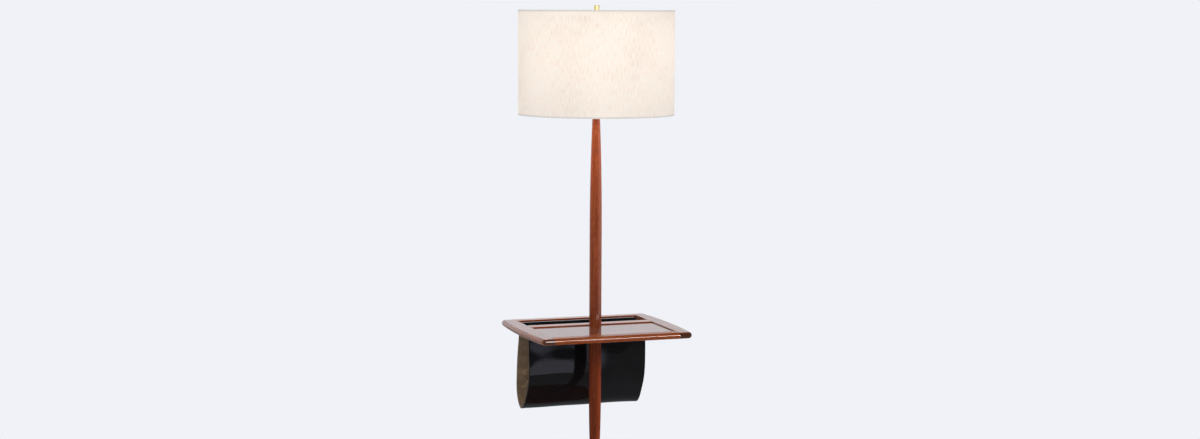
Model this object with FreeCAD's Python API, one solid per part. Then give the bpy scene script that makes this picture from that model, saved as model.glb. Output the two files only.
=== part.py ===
import FreeCAD, Part
import math
import os

# A floor lamp with a table: a turned wooden pole on a weighted round base carries a
# framed wooden table with a slot, a leather magazine sling that hangs below the slot
# on two rods, and a drum shade on a harp above a lamp holder with a turn switch.
# Millimetres. The pole's axis is Z, the floor is Z = 0, the table's front is -Y.

Vector = FreeCAD.Vector
UP = Vector(0, 0, 1)
ALONG_X = Vector(1, 0, 0)
ALONG_Y = Vector(0, 1, 0)
ORIGIN = Vector(0, 0, 0)

# ---- driving dimensions: fits ----
glue_gap = 0.05            # around glued dowels and screw threads, on the radius
running_gap = 0.05         # around a turning shaft or a sliding sleeve, on the radius
seat_gap = 0.3             # between faces of pieces that move against each other
pipe_gap = 0.4             # pole bore around the lamp pipe, on the radius
loose_gap = 0.25           # around pieces that are only slipped into place

# ---- heights ----
table_height = 559.0       # floor to the top of the table's rails
shade_top_above_table = 930.0
pole_top_above_table = 655.0

# ---- base ----
pad_radius = 140.0
pad_thickness = 2.0
base_radius = 150.0
base_edge_height = 16.0
base_edge_round = 4.0
base_height = 32.0
base_crown_radius = 30.0   # flat seat for the pole on top of the base
base_dome_rise = 2.2       # how far the top swells above a straight cone
weight_radius = 106.0
weight_thickness = 12.0
pocket_radius = 20.0       # room for the pipe's nut in the middle of the base
pocket_depth = 18.0
washer_radius = 16.0
washer_thickness = 2.0
nut_across_flats = 17.0
nut_height = 5.0
pipe_below_nut = 2.0
cord_channel_width = 12.0
inlet_height = 10.5        # centre of the cord inlet above the floor
inlet_radius = 4.6
inlet_bore_radius = 3.4
inlet_flange_radius = 7.0
inlet_flange_thickness = 1.2
inlet_length = 30.0

# ---- pole ----
pole_radius = 18.0
pole_foot_radius = 12.0
pole_top_radius = 9.6
lower_swell_below_table = 200.0   # where the lower taper starts
upper_swell_above_table = 290.0   # where the upper taper starts
pipe_radius = 4.85
pipe_bore_radius = 3.3

# ---- table ----
table_width = 458.0        # across the corners
table_depth = 406.0
side_bow = 11.0            # side rails' outer edge beyond its corners, at its middle
rail_width = 38.0          # a side rail's at its ends
rail_thickness = 19.0
rail_corner_radius = 11.0
rail_nose_flat = 0.8       # flat band left between the two rounded outer edges
rail_inner_round = 0.8
panel_thickness = 8.0
panel_recess = 3.0         # panel's top below the rails' top
panel_rebate = 1.5         # tongues below the panel's top
panel_reveal = 0.4         # shadow line between the panel's face and the rails
tongue_length = 6.5
groove_depth = 7.0
cross_rail_front = 29.0    # from the pole's axis to the cross rail's front face
dowel_radius = 3.5
dowel_length = 36.0
dowel_hole_depth = 18.5
dowel_offset = 8.0         # each dowel from the middle of its rail
plate_margin = 1.0         # plate's rim from the cross rail
plate_thickness = 3.0
plate_hole_radius = 2.0
screw_radius = 1.7
screw_length = 6.0         # reach into the panel
screw_head_radius = 3.2
screw_head_height = 1.8
screw_count = 4

# ---- magazine sling ----
sling_side_gap = 6.0       # between the sling's edge and each side rail's inner edge
leather_thickness = 2.4
rod_radius = 3.0
rod_drop = 9.5             # rod's axis below the rails' top
rod_inset = 8.5            # rod's axis from the slot's edge
rod_socket_depth = 8.0
rod_end_gap = 0.5
hem_length = 20.0
hem_turn = 70.0            # how far the hem tucks in under its rod, degrees
hem_gap = 0.3
front_lean = 3.0           # degrees from upright, outwards
rear_lean = 9.0
sheet_straight = 28.0      # straight top stretch of each side
front_belly_out = 1.5      # sling's belly beyond the slot's edge
rear_belly_out = 24.5
front_belly_drop = 129.0
rear_belly_drop = 177.0
slope_back = 31.0          # point on the sling's lower front slope, behind the cross rail
slope_drop = 220.5
slope_dip = 52.0           # degrees below level
sling_drop = 264.0
sling_bottom_back = 30.0   # lowest line behind the middle of the pocket

# ---- lamp head ----
cap_radius = 12.0
cap_height = 10.0
cap_neck_radius = 8.0
saddle_thickness = 1.5
saddle_width = 13.0
saddle_half_span = 30.0
saddle_tab_width = 4.2
saddle_tab_height = 20.0
saddle_bend_radius = 2.5
harp_wire_radius = 1.9
harp_foot_radius = 3.4
harp_foot_length = 13.0
harp_foot_lift = 9.0       # foot's lower end above the saddle
harp_straight = 36.0
harp_bend_radius = 40.0
harp_bend_angle = 35.0
harp_half_width = 60.0
harp_shoulder_radius = 46.0
harp_yoke_radius = 5.6
harp_yoke_height = 6.4
ferrule_wall = 0.9
ferrule_length = 12.0
stud_radius = 3.1
stud_height = 16.0

# ---- lamp holder ----
holder_radius = 16.6
holder_wall = 0.7
holder_cap_height = 17.0
holder_cap_crown = 7.0     # radius of the cap's flat bottom around the pipe
holder_height = 60.0
holder_rim_radius = 0.9
liner_wall = 0.6
core_height = 20.0
core_lift = 19.0           # core's underside above the cap's underside
core_gap = 0.3
thread_shell_radius = 14.2
thread_shell_wall = 0.4
contact_radius = 3.0
contact_height = 2.4
pipe_into_cap = 8.0
switch_lift = 27.0         # switch shaft's axis above the cap's underside
switch_shaft_radius = 2.4
switch_reach = 11.0        # shaft's end beyond the holder's shell
switch_seat_depth = 8.0    # shaft's bearing inside the core
knob_radius = 6.0
knob_length = 12.0
knob_stem_radius = 4.0
knob_stem_length = 3.0
knob_gap = 1.2             # knob's stem from the holder's shell
knob_flutes = 12
knob_flute_radius = 0.9

# ---- bulb ----
bulb_base_radius = 13.2
bulb_base_length = 24.0
bulb_radius = 30.0
bulb_length = 105.0
bulb_neck_radius = 12.0
bulb_glass_wall = 1.0
bulb_lift = 0.3            # bulb's tip above the centre contact

# ---- shade ----
shade_radius = 228.5
shade_height = 305.0
fabric_thickness = 0.6
backing_thickness = 0.5
layer_gap = 0.05
ring_wire_radius = 1.6
trim_thickness = 0.4
trim_height = 5.0
spider_drop = 13.0         # spider's hub below the shade's top edge
spider_count = 3
spider_rod_radius = 1.5
spider_rise_inset = 16.0   # where each arm starts to slope down, from the ring
hub_radius = 14.0
hub_thickness = 1.6

# ---- finial ----
finial_radius = 8.0
finial_foot_radius = 5.2
finial_foot_height = 5.0
finial_above_shade = 13.4
finial_waist_height = 5.0
finial_dimple_radius = 9.0
finial_dimple_depth = 1.6
finial_edge = 0.8
thread_spare = 2.0         # room left above the stud inside the finial

# ---- places that follow ----
base_top = pad_thickness + base_height
rail_bottom = table_height - rail_thickness
panel_top = table_height - panel_recess
panel_bottom = panel_top - panel_thickness
tongue_top = panel_top - panel_rebate
plate_bottom = panel_bottom - plate_thickness
half_width = table_width / 2
half_depth = table_depth / 2
inner_half_width = half_width - rail_width
inner_half_depth = half_depth - rail_width
cross_rail_back = cross_rail_front + rail_width
plate_radius = cross_rail_front - plate_margin
screw_circle_radius = (pole_radius + plate_radius) / 2
pole_top = table_height + pole_top_above_table
saddle_seat = pole_top + cap_height
holder_seat = saddle_seat + saddle_thickness
holder_top = holder_seat + holder_height
pocket_top = pad_thickness + pocket_depth
pipe_bottom = pocket_top - washer_thickness - nut_height - pipe_below_nut
shade_top = table_height + shade_top_above_table
shade_bottom = shade_top - shade_height
hub_bottom = shade_top - spider_drop
yoke_top = hub_bottom - seat_gap
harp_wire_height = yoke_top - harp_yoke_height / 2
rod_height = table_height - rod_drop
front_rod_y = cross_rail_back + rod_inset
rear_rod_y = inner_half_depth - rod_inset
contact_top = holder_seat + core_lift + core_height + contact_height
ring_inset = trim_thickness + layer_gap + ring_wire_radius
ring_centre_radius = (shade_radius - fabric_thickness - layer_gap - backing_thickness
                      - layer_gap - ring_wire_radius)


# ---- helpers ----
def outline(start, steps):
    """Closed face in the XZ plane. A step is a point, or a pair (through, end) for an arc."""
    edges = []
    here = start
    for step in list(steps) + [start]:
        if isinstance(step[0], tuple):
            through, end = step
            arc = Part.Arc(Vector(here[0], 0, here[1]), Vector(through[0], 0, through[1]),
                           Vector(end[0], 0, end[1]))
            edges.append(arc.toShape())
        else:
            end = step
            edges.append(Part.makeLine(Vector(here[0], 0, here[1]), Vector(end[0], 0, end[1])))
        here = end
    return Part.Face(Part.Wire(edges))


def turned(start, steps):
    """Solid of revolution about Z from an outline of (radius, height) points."""
    return outline(start, steps).revolve(ORIGIN, UP, 360)


def tube(outer, inner, bottom, top):
    return turned((inner, bottom), [(outer, bottom), (outer, top), (inner, top)])


def disc(radius, bottom, height):
    return Part.makeCylinder(radius, height, Vector(0, 0, bottom), UP)


def block(low, high):
    size = Vector(*high) - Vector(*low)
    return Part.makeBox(size.x, size.y, size.z, Vector(*low))


def rod_along_x(radius, low, high, y, z):
    return Part.makeCylinder(radius, high - low, Vector(low, y, z), ALONG_X)


def bulge_point(a, b, rise):
    """Point halfway between a and b, moved sideways by rise, to the left of a to b."""
    length = math.hypot(b[0] - a[0], b[1] - a[1])
    return ((a[0] + b[0]) / 2 - (b[1] - a[1]) / length * rise,
            (a[1] + b[1]) / 2 + (b[0] - a[0]) / length * rise)


def around(shape, count, first=0.0):
    """Copies of a shape, evenly spaced about Z."""
    copies = []
    for number in range(count):
        copy = shape.copy()
        copy.rotate(ORIGIN, UP, first + number * 360.0 / count)
        copies.append(copy)
    return copies


def mirrored_pair(shape):
    return [shape, shape.mirror(ORIGIN, ALONG_X)]


def save(shape, node):
    shape.exportStep("parts/" + node + ".step")


# ---- base ----
def make_base_pad():
    return disc(pad_radius, 0, pad_thickness)


def inlet_hole(radius, start, length):
    """Cylinder along +Y at the cord inlet's height."""
    return Part.makeCylinder(radius, length, Vector(0, start, inlet_height), ALONG_Y)


def make_base_disc():
    """Round wooden base: upright edge with a rounded corner, top domed up to the pole's seat."""
    edge_top = pad_thickness + base_edge_height
    arc_share = base_edge_round * (1 - math.cos(math.radians(45)))
    shoulder = (base_radius - base_edge_round, edge_top)
    crown = (base_crown_radius, base_top)
    body = turned((0, pad_thickness), [
        (base_radius, pad_thickness),
        (base_radius, edge_top - base_edge_round),
        ((base_radius - arc_share, edge_top - arc_share), shoulder),
        (bulge_point(crown, shoulder, base_dome_rise), crown),
        (0, base_top)])
    body = body.cut(disc(weight_radius + loose_gap, pad_thickness, weight_thickness + loose_gap))
    body = body.cut(disc(pocket_radius, pad_thickness, pocket_depth))
    body = body.cut(disc(pipe_radius + pipe_gap, pad_thickness, base_height))
    body = body.cut(inlet_hole(inlet_radius + glue_gap, 0, base_radius))
    flange_start = base_radius - inlet_flange_thickness
    return body.cut(inlet_hole(inlet_flange_radius + glue_gap, flange_start, inlet_flange_thickness))


def make_base_weight():
    """Cast-iron disc in the underside, slit towards the cord inlet."""
    weight = tube(weight_radius, pocket_radius, pad_thickness, pad_thickness + weight_thickness)
    half = cord_channel_width / 2
    slit = block((-half, 0, pad_thickness), (half, weight_radius, pad_thickness + weight_thickness))
    return weight.cut(slit)


def make_base_washer():
    return tube(washer_radius, pipe_radius + glue_gap, pocket_top - washer_thickness, pocket_top)


def make_base_nut():
    top = pocket_top - washer_thickness
    corner = nut_across_flats / math.sqrt(3)
    points = [Vector(corner * math.cos(math.radians(60 * k)), corner * math.sin(math.radians(60 * k)),
                     top - nut_height) for k in range(7)]
    nut = Part.Face(Part.makePolygon(points)).extrude(Vector(0, 0, nut_height))
    return nut.cut(disc(pipe_radius + glue_gap, top - nut_height, nut_height))


def make_cord_inlet():
    """Bushing in the base's rear edge that a cord would enter through."""
    start = base_radius - inlet_length
    flange_start = base_radius - inlet_flange_thickness
    bushing = inlet_hole(inlet_radius, start, inlet_length - inlet_flange_thickness)
    bushing = bushing.fuse(inlet_hole(inlet_flange_radius, flange_start, inlet_flange_thickness))
    return bushing.cut(inlet_hole(inlet_bore_radius, start, inlet_length))


# ---- pole ----
def make_lower_pole():
    """Full width at the top, drawn in to the foot through two equal opposite arcs."""
    swell = table_height - lower_swell_below_table
    middle = ((pole_radius + pole_foot_radius) / 2, (swell + base_top) / 2)
    quarter = (pole_radius - pole_foot_radius) / 8
    upper_through = (pole_radius - quarter, (swell + middle[1]) / 2)
    lower_through = (pole_foot_radius + quarter, (base_top + middle[1]) / 2)
    pole = turned((0, base_top), [
        (pole_foot_radius, base_top),
        (lower_through, middle),
        (upper_through, (pole_radius, swell)),
        (pole_radius, plate_bottom),
        (0, plate_bottom)])
    return pole.cut(disc(pipe_radius + pipe_gap, base_top, plate_bottom - base_top))


def make_upper_pole():
    """Stands on the plate through the panel, full width there, drawn in to the top along one long arc."""
    swell = table_height + upper_swell_above_table
    quarter = (pole_radius - pole_top_radius) / 4
    through = (pole_radius - quarter, (swell + pole_top) / 2)
    pole = turned((0, panel_bottom), [
        (pole_radius, panel_bottom),
        (pole_radius, swell),
        (through, (pole_top_radius, pole_top)),
        (0, pole_top)])
    return pole.cut(disc(pipe_radius + pipe_gap, panel_bottom, pole_top - panel_bottom))


def make_lamp_pipe():
    return tube(pipe_radius, pipe_bore_radius, pipe_bottom, holder_seat + pipe_into_cap)


# ---- table ----
def frame_blank():
    """Slab of the table's outline: bowed sides, rounded corners and a full-round outer edge."""
    corners = [Vector(x, y, rail_bottom) for x, y in (
        (-half_width, -half_depth), (half_width, -half_depth),
        (half_width, half_depth), (-half_width, half_depth))]
    bows = [Vector(side * (half_width + side_bow), 0, rail_bottom) for side in (1, -1)]
    rim = Part.Wire([Part.makeLine(corners[0], corners[1]),
                     Part.Arc(corners[1], bows[0], corners[2]).toShape(),
                     Part.makeLine(corners[2], corners[3]),
                     Part.Arc(corners[3], bows[1], corners[0]).toShape()])
    slab = Part.Face(rim).extrude(UP * rail_thickness)
    upright = [edge for edge in slab.Edges
               if abs(edge.Vertexes[0].Z - edge.Vertexes[-1].Z) > rail_thickness / 2]
    slab = slab.makeFillet(rail_corner_radius, upright)
    level = [edge for edge in slab.Edges
             if abs(edge.Vertexes[0].Z - edge.Vertexes[-1].Z) < rail_thickness / 2]
    return slab.makeFillet((rail_thickness - rail_nose_flat) / 2, level)


def soften_inner(rail, touches):
    """Rounds the straight top edges of a rail that pass through one of the given faces."""
    edges = []
    for edge in rail.Edges:
        box = edge.BoundBox
        on_top = box.ZMin > table_height - seat_gap / 2
        long_enough = box.DiagonalLength > rail_width * 2
        if on_top and long_enough and any(near(box) for near in touches):
            edges.append(edge)
    return rail.makeFillet(rail_inner_round, edges) if edges else rail


def at_x(place):
    return lambda box: box.XLength < seat_gap and abs(box.XMin - place) < seat_gap


def at_y(place):
    return lambda box: box.YLength < seat_gap and abs(box.YMin - place) < seat_gap


def panel_groove():
    """Space that the rails leave for the panel's tongues."""
    return block((-inner_half_width - groove_depth, -inner_half_depth - groove_depth, panel_bottom),
                 (inner_half_width + groove_depth, cross_rail_front + groove_depth, tongue_top))


def dowel_places():
    """Dowel axes as (sign of x, y): two at each end of the front, cross and back rails."""
    middles = [-(half_depth - rail_width / 2), (cross_rail_front + cross_rail_back) / 2,
               half_depth - rail_width / 2]
    return [(side, middle + shift) for side in (-1, 1) for middle in middles
            for shift in (-dowel_offset, dowel_offset)]


def dowels(radius, reach):
    height = table_height - rail_thickness / 2
    return [rod_along_x(radius, side * inner_half_width - reach, side * inner_half_width + reach,
                        y, height) for side, y in dowel_places()]


def rod_sockets():
    reach = inner_half_width + rod_socket_depth
    return [rod_along_x(rod_radius + running_gap, -reach, reach, y, rod_height)
            for y in (front_rod_y, rear_rod_y)]


def make_rail(low, high, touches):
    """One rail: its stretch of the rounded slab, grooved for the panel and bored for dowels."""
    rail = frame_blank().common(block((low[0], low[1], rail_bottom), (high[0], high[1], table_height)))
    rail = soften_inner(rail, touches)
    rail = rail.cut(panel_groove())
    return rail.cut(Part.makeCompound(dowels(dowel_radius + glue_gap, dowel_hole_depth)))


def make_side_rail(side):
    inner = side * inner_half_width
    outer = side * (half_width + side_bow)
    rail = make_rail((min(inner, outer), -half_depth), (max(inner, outer), half_depth), [at_x(inner)])
    return rail.cut(Part.makeCompound(rod_sockets()))


def make_front_rail():
    return make_rail((-inner_half_width, -half_depth), (inner_half_width, -inner_half_depth),
                     [at_y(-inner_half_depth)])


def make_back_rail():
    return make_rail((-inner_half_width, inner_half_depth), (inner_half_width, half_depth),
                     [at_y(inner_half_depth)])


def make_cross_rail():
    return make_rail((-inner_half_width, cross_rail_front), (inner_half_width, cross_rail_back),
                     [at_y(cross_rail_front), at_y(cross_rail_back)])


def make_table_panel():
    """Board with rebated tongues in the rails' grooves, bored for the pole and the plate's screws."""
    tongues = block((-inner_half_width - tongue_length, -inner_half_depth - tongue_length, panel_bottom),
                    (inner_half_width + tongue_length, cross_rail_front + tongue_length, tongue_top))
    face = block((-inner_half_width + panel_reveal, -inner_half_depth + panel_reveal, panel_bottom),
                 (inner_half_width - panel_reveal, cross_rail_front - panel_reveal, panel_top))
    panel = tongues.fuse(face).removeSplitter()
    panel = panel.cut(disc(pole_radius + loose_gap, panel_bottom, panel_thickness))
    return panel.cut(Part.makeCompound(plate_screw_shapes(screw_radius + glue_gap, screw_length,
                                                          panel_bottom)))


def plate_screw_shapes(radius, length, bottom):
    shank = Part.makeCylinder(radius, length, Vector(screw_circle_radius, 0, bottom), UP)
    return around(shank, screw_count, 180.0 / screw_count)


def make_table_plate():
    """Steel disc under the panel, between the two lengths of the pole."""
    plate = tube(plate_radius, pipe_radius + pipe_gap, plate_bottom, panel_bottom)
    return plate.cut(Part.makeCompound(plate_screw_shapes(plate_hole_radius, plate_thickness,
                                                          plate_bottom)))


def make_plate_screws():
    """Round-headed screws up through the plate into the panel."""
    shank_length = plate_thickness + screw_length
    head_bottom = plate_bottom - screw_head_height
    screw = turned((0, head_bottom), [
        (screw_head_radius / 2, head_bottom),
        ((screw_head_radius * 0.87, head_bottom + screw_head_height * 0.4),
         (screw_head_radius, plate_bottom)),
        (screw_radius, plate_bottom),
        (screw_radius, plate_bottom + shank_length),
        (0, plate_bottom + shank_length)])
    screw.translate(Vector(screw_circle_radius, 0, 0))
    return Part.makeCompound(around(screw, screw_count, 180.0 / screw_count))


# ---- magazine sling ----
def make_sling_rod(y):
    reach = inner_half_width + rod_socket_depth - rod_end_gap
    return rod_along_x(rod_radius, -reach, reach, y, rod_height)


def direction(degrees):
    """Unit step in the YZ plane, 0 along +Y and 90 along +Z."""
    return Vector(0, math.cos(math.radians(degrees)), math.sin(math.radians(degrees)))


def arc_edge(start, heading, radius, turn):
    """Arc that leaves start along heading and turns left by turn degrees, or right if negative."""
    side = 90 if turn > 0 else -90
    centre = start + direction(heading + side) * radius
    middle = centre - direction(heading + side + turn / 2) * radius
    end = centre - direction(heading + side + turn) * radius
    return Part.Arc(start, middle, end).toShape(), end


def two_arcs(start, start_heading, end, end_heading):
    """Two tangent arcs from start to end, with the given headings at the two ends."""
    first, last = direction(start_heading), direction(end_heading)
    gap = end - start
    both = first + last
    # the joint lies halfway between the ends of two equal tangent lengths
    a = 2 * (1 - first.dot(last))
    b = gap.dot(both)
    reach = (-b + math.sqrt(b * b + a * gap.dot(gap))) / a
    joint = (start + first * reach + end - last * reach) * 0.5
    edges = []
    for tail, heading, head in ((start, first, joint), (end, last * -1, joint)):
        chord = head - tail
        # the arc's middle lies where the bisector of tangent and chord meets its normal
        along = chord.dot(heading)
        radius_share = chord.dot(chord) / (2 * (chord - heading * along).Length)
        inward = (chord - heading * along).normalize()
        centre = tail + inward * radius_share
        middle = centre + ((tail + head) * 0.5 - centre).normalize() * radius_share
        edges.append(Part.Arc(tail, middle, head).toShape())
    return edges


def hem_edges(rod_y, lean, side):
    """Leather's middle line at one rod, from the hem's free end round to the hanging sheet.

    side is 1 at the rear and -1 at the front. It is drawn as at the rear, then mirrored.
    """
    loop = rod_radius + loose_gap + leather_thickness / 2
    tuck = math.radians(hem_turn)
    inward = loop - leather_thickness - hem_gap
    tuck_radius = (loop * math.cos(tuck) + inward) / (1 - math.cos(tuck))
    # drawn upright about the rod at the origin, the sheet on the +Y side
    leave = Vector(0, -loop * math.cos(tuck), -loop * math.sin(tuck))
    hem_top = Vector(0, inward, leave.z - tuck_radius * math.sin(tuck))
    hem_end = hem_top - UP * hem_length
    edges = [Part.makeLine(hem_end, hem_top)]
    edge, end = arc_edge(hem_top, 90, tuck_radius, hem_turn)
    edges.append(edge)
    edge, end = arc_edge(end, 90 + hem_turn, loop, -(90 + hem_turn))
    edges.append(edge)
    edge, end = arc_edge(end, 0, loop, -90)
    edges.append(edge)
    edges.append(Part.makeLine(end, end - UP * sheet_straight))
    line = Part.Wire(edges)
    line.rotate(ORIGIN, ALONG_X, lean)
    if side < 0:
        line = line.mirror(ORIGIN, ALONG_Y)
    line.translate(Vector(0, rod_y, rod_height))
    free = direction(-90 + lean) if side > 0 else direction(-90 - lean)
    foot = max(line.Edges[-1].Vertexes, key=lambda vertex: (vertex.Point - Vector(
        0, rod_y, rod_height)).dot(free)).Point
    return line.Edges, foot


def sling_line():
    """Leather's middle line in the YZ plane: hem, front side, bottom, rear side, hem."""
    half = leather_thickness / 2
    front_edges, front_foot = hem_edges(front_rod_y, front_lean, -1)
    rear_edges, rear_foot = hem_edges(rear_rod_y, rear_lean, 1)
    front_belly = Vector(0, cross_rail_back - front_belly_out + half, table_height - front_belly_drop)
    rear_belly = Vector(0, inner_half_depth + rear_belly_out - half, table_height - rear_belly_drop)
    slope = Vector(0, cross_rail_back + slope_back, table_height - slope_drop)
    bottom_y = (front_rod_y + rear_rod_y) / 2 + sling_bottom_back
    bottom = Vector(0, bottom_y, table_height - sling_drop + half)
    edges = list(front_edges)
    edges += two_arcs(front_foot, -90 - front_lean, front_belly, -90)
    edges += two_arcs(front_belly, -90, slope, -slope_dip)
    edges += two_arcs(slope, -slope_dip, bottom, 0)
    edges += two_arcs(bottom, 0, rear_belly, 90)
    edges += two_arcs(rear_belly, 90, rear_foot, 90 + rear_lean)
    edges += list(rear_edges)
    return Part.Wire(Part.__sortEdges__(edges))


def make_sling():
    """Leather sheet that hangs in a deep U from both rods, its hems folded in over them."""
    line = sling_line()
    half = leather_thickness / 2
    outside = line.makeOffset2D(half, join=0, fill=False, openResult=True)
    inside = line.makeOffset2D(-half, join=0, fill=False, openResult=True)
    ends = []
    for index in (0, -1):
        one = outside.OrderedVertexes[index].Point
        other = min((inside.OrderedVertexes[0].Point, inside.OrderedVertexes[-1].Point),
                    key=lambda point: (point - one).Length)
        ends.append(Part.makeLine(one, other))
    rim = Part.Wire(Part.__sortEdges__(outside.Edges + inside.Edges + ends))
    section = Part.Face(rim)
    reach = inner_half_width - sling_side_gap
    section.translate(Vector(-reach, 0, 0))
    return section.extrude(Vector(2 * reach, 0, 0))


# ---- lamp head ----
def make_pole_cap():
    """Turned brass cap on the pole's narrow top."""
    step = cap_height / 3
    cap = turned((0, pole_top), [
        (cap_radius - step / 2, pole_top),
        (cap_radius, pole_top + step / 2),
        (cap_radius, pole_top + step),
        ((cap_neck_radius + step / 2, pole_top + step * 1.5), (cap_neck_radius, pole_top + step * 2.5)),
        (cap_neck_radius, saddle_seat),
        (0, saddle_seat)])
    return cap.cut(disc(pipe_radius + glue_gap, pole_top, cap_height))


def make_harp_saddle():
    """Flat strip clamped under the lamp holder, its two ends bent up as tabs for the harp."""
    half_strip = saddle_width / 2
    tab_outer = saddle_half_span + saddle_thickness / 2
    strip = block((-tab_outer + saddle_bend_radius, -half_strip, saddle_seat),
                  (tab_outer - saddle_bend_radius, half_strip, holder_seat))
    bend_inner = saddle_bend_radius - saddle_thickness
    middle_share = math.cos(math.radians(45))
    centre = (tab_outer - saddle_bend_radius, saddle_seat + saddle_bend_radius)
    bend = outline((centre[0], saddle_seat), [
        ((centre[0] + saddle_bend_radius * middle_share, centre[1] - saddle_bend_radius * middle_share),
         (tab_outer, centre[1])),
        (tab_outer - saddle_thickness, centre[1]),
        ((centre[0] + bend_inner * middle_share, centre[1] - bend_inner * middle_share),
         (centre[0], holder_seat))])
    bend.translate(Vector(0, -half_strip, 0))
    bend = bend.extrude(Vector(0, saddle_width, 0))
    shoulder_top = saddle_seat + harp_foot_lift
    upright = block((tab_outer - saddle_thickness, -half_strip, centre[1]),
                    (tab_outer, half_strip, shoulder_top - seat_gap))
    tab = block((tab_outer - saddle_thickness, -saddle_tab_width / 2, shoulder_top - seat_gap),
                (tab_outer, saddle_tab_width / 2, saddle_seat + saddle_tab_height))
    arms = mirrored_pair(bend.fuse([upright, tab]))
    saddle = strip.fuse(arms[0]).fuse(arms[1]).removeSplitter()
    return saddle.cut(disc(pipe_radius + glue_gap, saddle_seat, saddle_thickness))


def harp_path():
    """Middle line of the harp's wire in the XZ plane, from the right foot over to the left one."""
    bend = math.radians(harp_bend_angle)
    foot_top = saddle_seat + harp_foot_lift + harp_foot_length
    straight_top = foot_top + harp_straight
    curve_out = harp_bend_radius * (1 - math.cos(bend))
    slope = (harp_half_width - saddle_half_span - 2 * curve_out) / math.sin(bend)
    a = (saddle_half_span, foot_top)
    b = (saddle_half_span, straight_top)
    c = (b[0] + curve_out, b[1] + harp_bend_radius * math.sin(bend))
    d = (c[0] + slope * math.sin(bend), c[1] + slope * math.cos(bend))
    e = (harp_half_width, d[1] + harp_bend_radius * math.sin(bend))
    f = (harp_half_width, harp_wire_height - harp_shoulder_radius)
    g = (harp_half_width - harp_shoulder_radius, harp_wire_height)
    half_out = harp_bend_radius * (1 - math.cos(bend / 2))
    half_up = harp_bend_radius * math.sin(bend / 2)
    share = harp_shoulder_radius * (1 - math.cos(math.radians(45)))
    right = [("line", a, b), ("arc", b, (b[0] + half_out, b[1] + half_up), c), ("line", c, d),
             ("arc", d, (e[0] - half_out, e[1] - half_up), e), ("line", e, f),
             ("arc", f, (f[0] - share, g[1] - share), g)]
    edges = []
    for side in (1, -1):
        for kind, *points in right:
            places = [Vector(side * x, 0, z) for x, z in points]
            edges.append(Part.makeLine(*places) if kind == "line" else Part.Arc(*places).toShape())
    edges.append(Part.makeLine(Vector(g[0], 0, g[1]), Vector(-g[0], 0, g[1])))
    return Part.Wire(Part.__sortEdges__(edges)), Vector(a[0], 0, a[1])


def make_harp():
    """Bent wire bow with a slotted foot at each end that slips over the saddle's tabs."""
    path, start = harp_path()
    circle = Part.Wire(Part.makeCircle(harp_wire_radius, start, UP))
    wire = path.makePipeShell([circle], True, False)
    foot_bottom = saddle_seat + harp_foot_lift
    feet = []
    for side in (-1, 1):
        centre = side * saddle_half_span
        foot = Part.makeCylinder(harp_foot_radius, harp_foot_length, Vector(centre, 0, foot_bottom), UP)
        half_x = saddle_thickness / 2 + loose_gap
        half_y = saddle_tab_width / 2 + loose_gap
        slot_top = min(saddle_seat + saddle_tab_height + loose_gap, foot_bottom + harp_foot_length)
        feet.append(foot.cut(block((centre - half_x, -half_y, foot_bottom),
                                   (centre + half_x, half_y, slot_top))))
    return wire.fuse(feet)


def make_ferrule(side):
    """Sleeve that slides on a harp's foot and holds it on its tab."""
    bottom = saddle_seat + harp_foot_lift
    inner = harp_foot_radius + running_gap
    ferrule = tube(inner + ferrule_wall, inner, bottom, bottom + ferrule_length)
    ferrule.translate(Vector(side * saddle_half_span, 0, 0))
    return ferrule


def make_harp_stud():
    """Yoke on the harp's top with the threaded stud that the shade sits on."""
    bottom = yoke_top - harp_yoke_height
    yoke = disc(harp_yoke_radius, bottom, harp_yoke_height)
    yoke = yoke.cut(rod_along_x(harp_wire_radius + glue_gap, -harp_yoke_radius, harp_yoke_radius,
                                0, harp_wire_height))
    return yoke.fuse(disc(stud_radius, yoke_top, stud_height))


# ---- lamp holder ----
def make_holder_cap():
    """Brass cup screwed onto the pipe's top."""
    top = holder_seat + holder_cap_height
    waist = holder_seat + holder_cap_height * 0.6
    swell = (holder_radius * 0.83, holder_seat + holder_cap_height * 0.22)
    inner_swell = (swell[0] - holder_wall, swell[1] + holder_wall)
    cup = turned((0, holder_seat), [
        (holder_cap_crown, holder_seat),
        (swell, (holder_radius, waist)),
        (holder_radius, top),
        (holder_radius - holder_wall, top),
        (holder_radius - holder_wall, waist + holder_wall),
        (inner_swell, (holder_cap_crown, holder_seat + holder_wall)),
        (holder_cap_crown, holder_seat + pipe_into_cap),
        (0, holder_seat + pipe_into_cap)])
    return cup.cut(disc(pipe_radius + glue_gap, holder_seat, pipe_into_cap))


def switch_hole(radius):
    """Cylinder along -Y from the lamp holder's axis, at the switch shaft's height."""
    return Part.makeCylinder(radius, holder_radius * 2, Vector(0, 0, holder_seat + switch_lift),
                             ALONG_Y * -1)


def make_holder_shell():
    """Brass sleeve above the cap with a rolled rim and a hole for the switch shaft."""
    bottom = holder_seat + holder_cap_height
    shell = tube(holder_radius, holder_radius - holder_wall, bottom, holder_top)
    rim_centre = Vector(0, 0, holder_top)
    rim = Part.makeTorus(holder_radius - holder_wall / 2, holder_rim_radius, rim_centre, UP)
    return shell.fuse(rim).cut(switch_hole(switch_shaft_radius + seat_gap))


def make_holder_liner():
    """Insulating paper sleeve inside the shell."""
    outer = holder_radius - holder_wall - layer_gap
    liner = tube(outer, outer - liner_wall, holder_seat + holder_cap_height,
                 holder_top - holder_rim_radius)
    return liner.cut(switch_hole(switch_shaft_radius + seat_gap))


def core_radius():
    return holder_radius - holder_wall - layer_gap - liner_wall - core_gap


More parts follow.
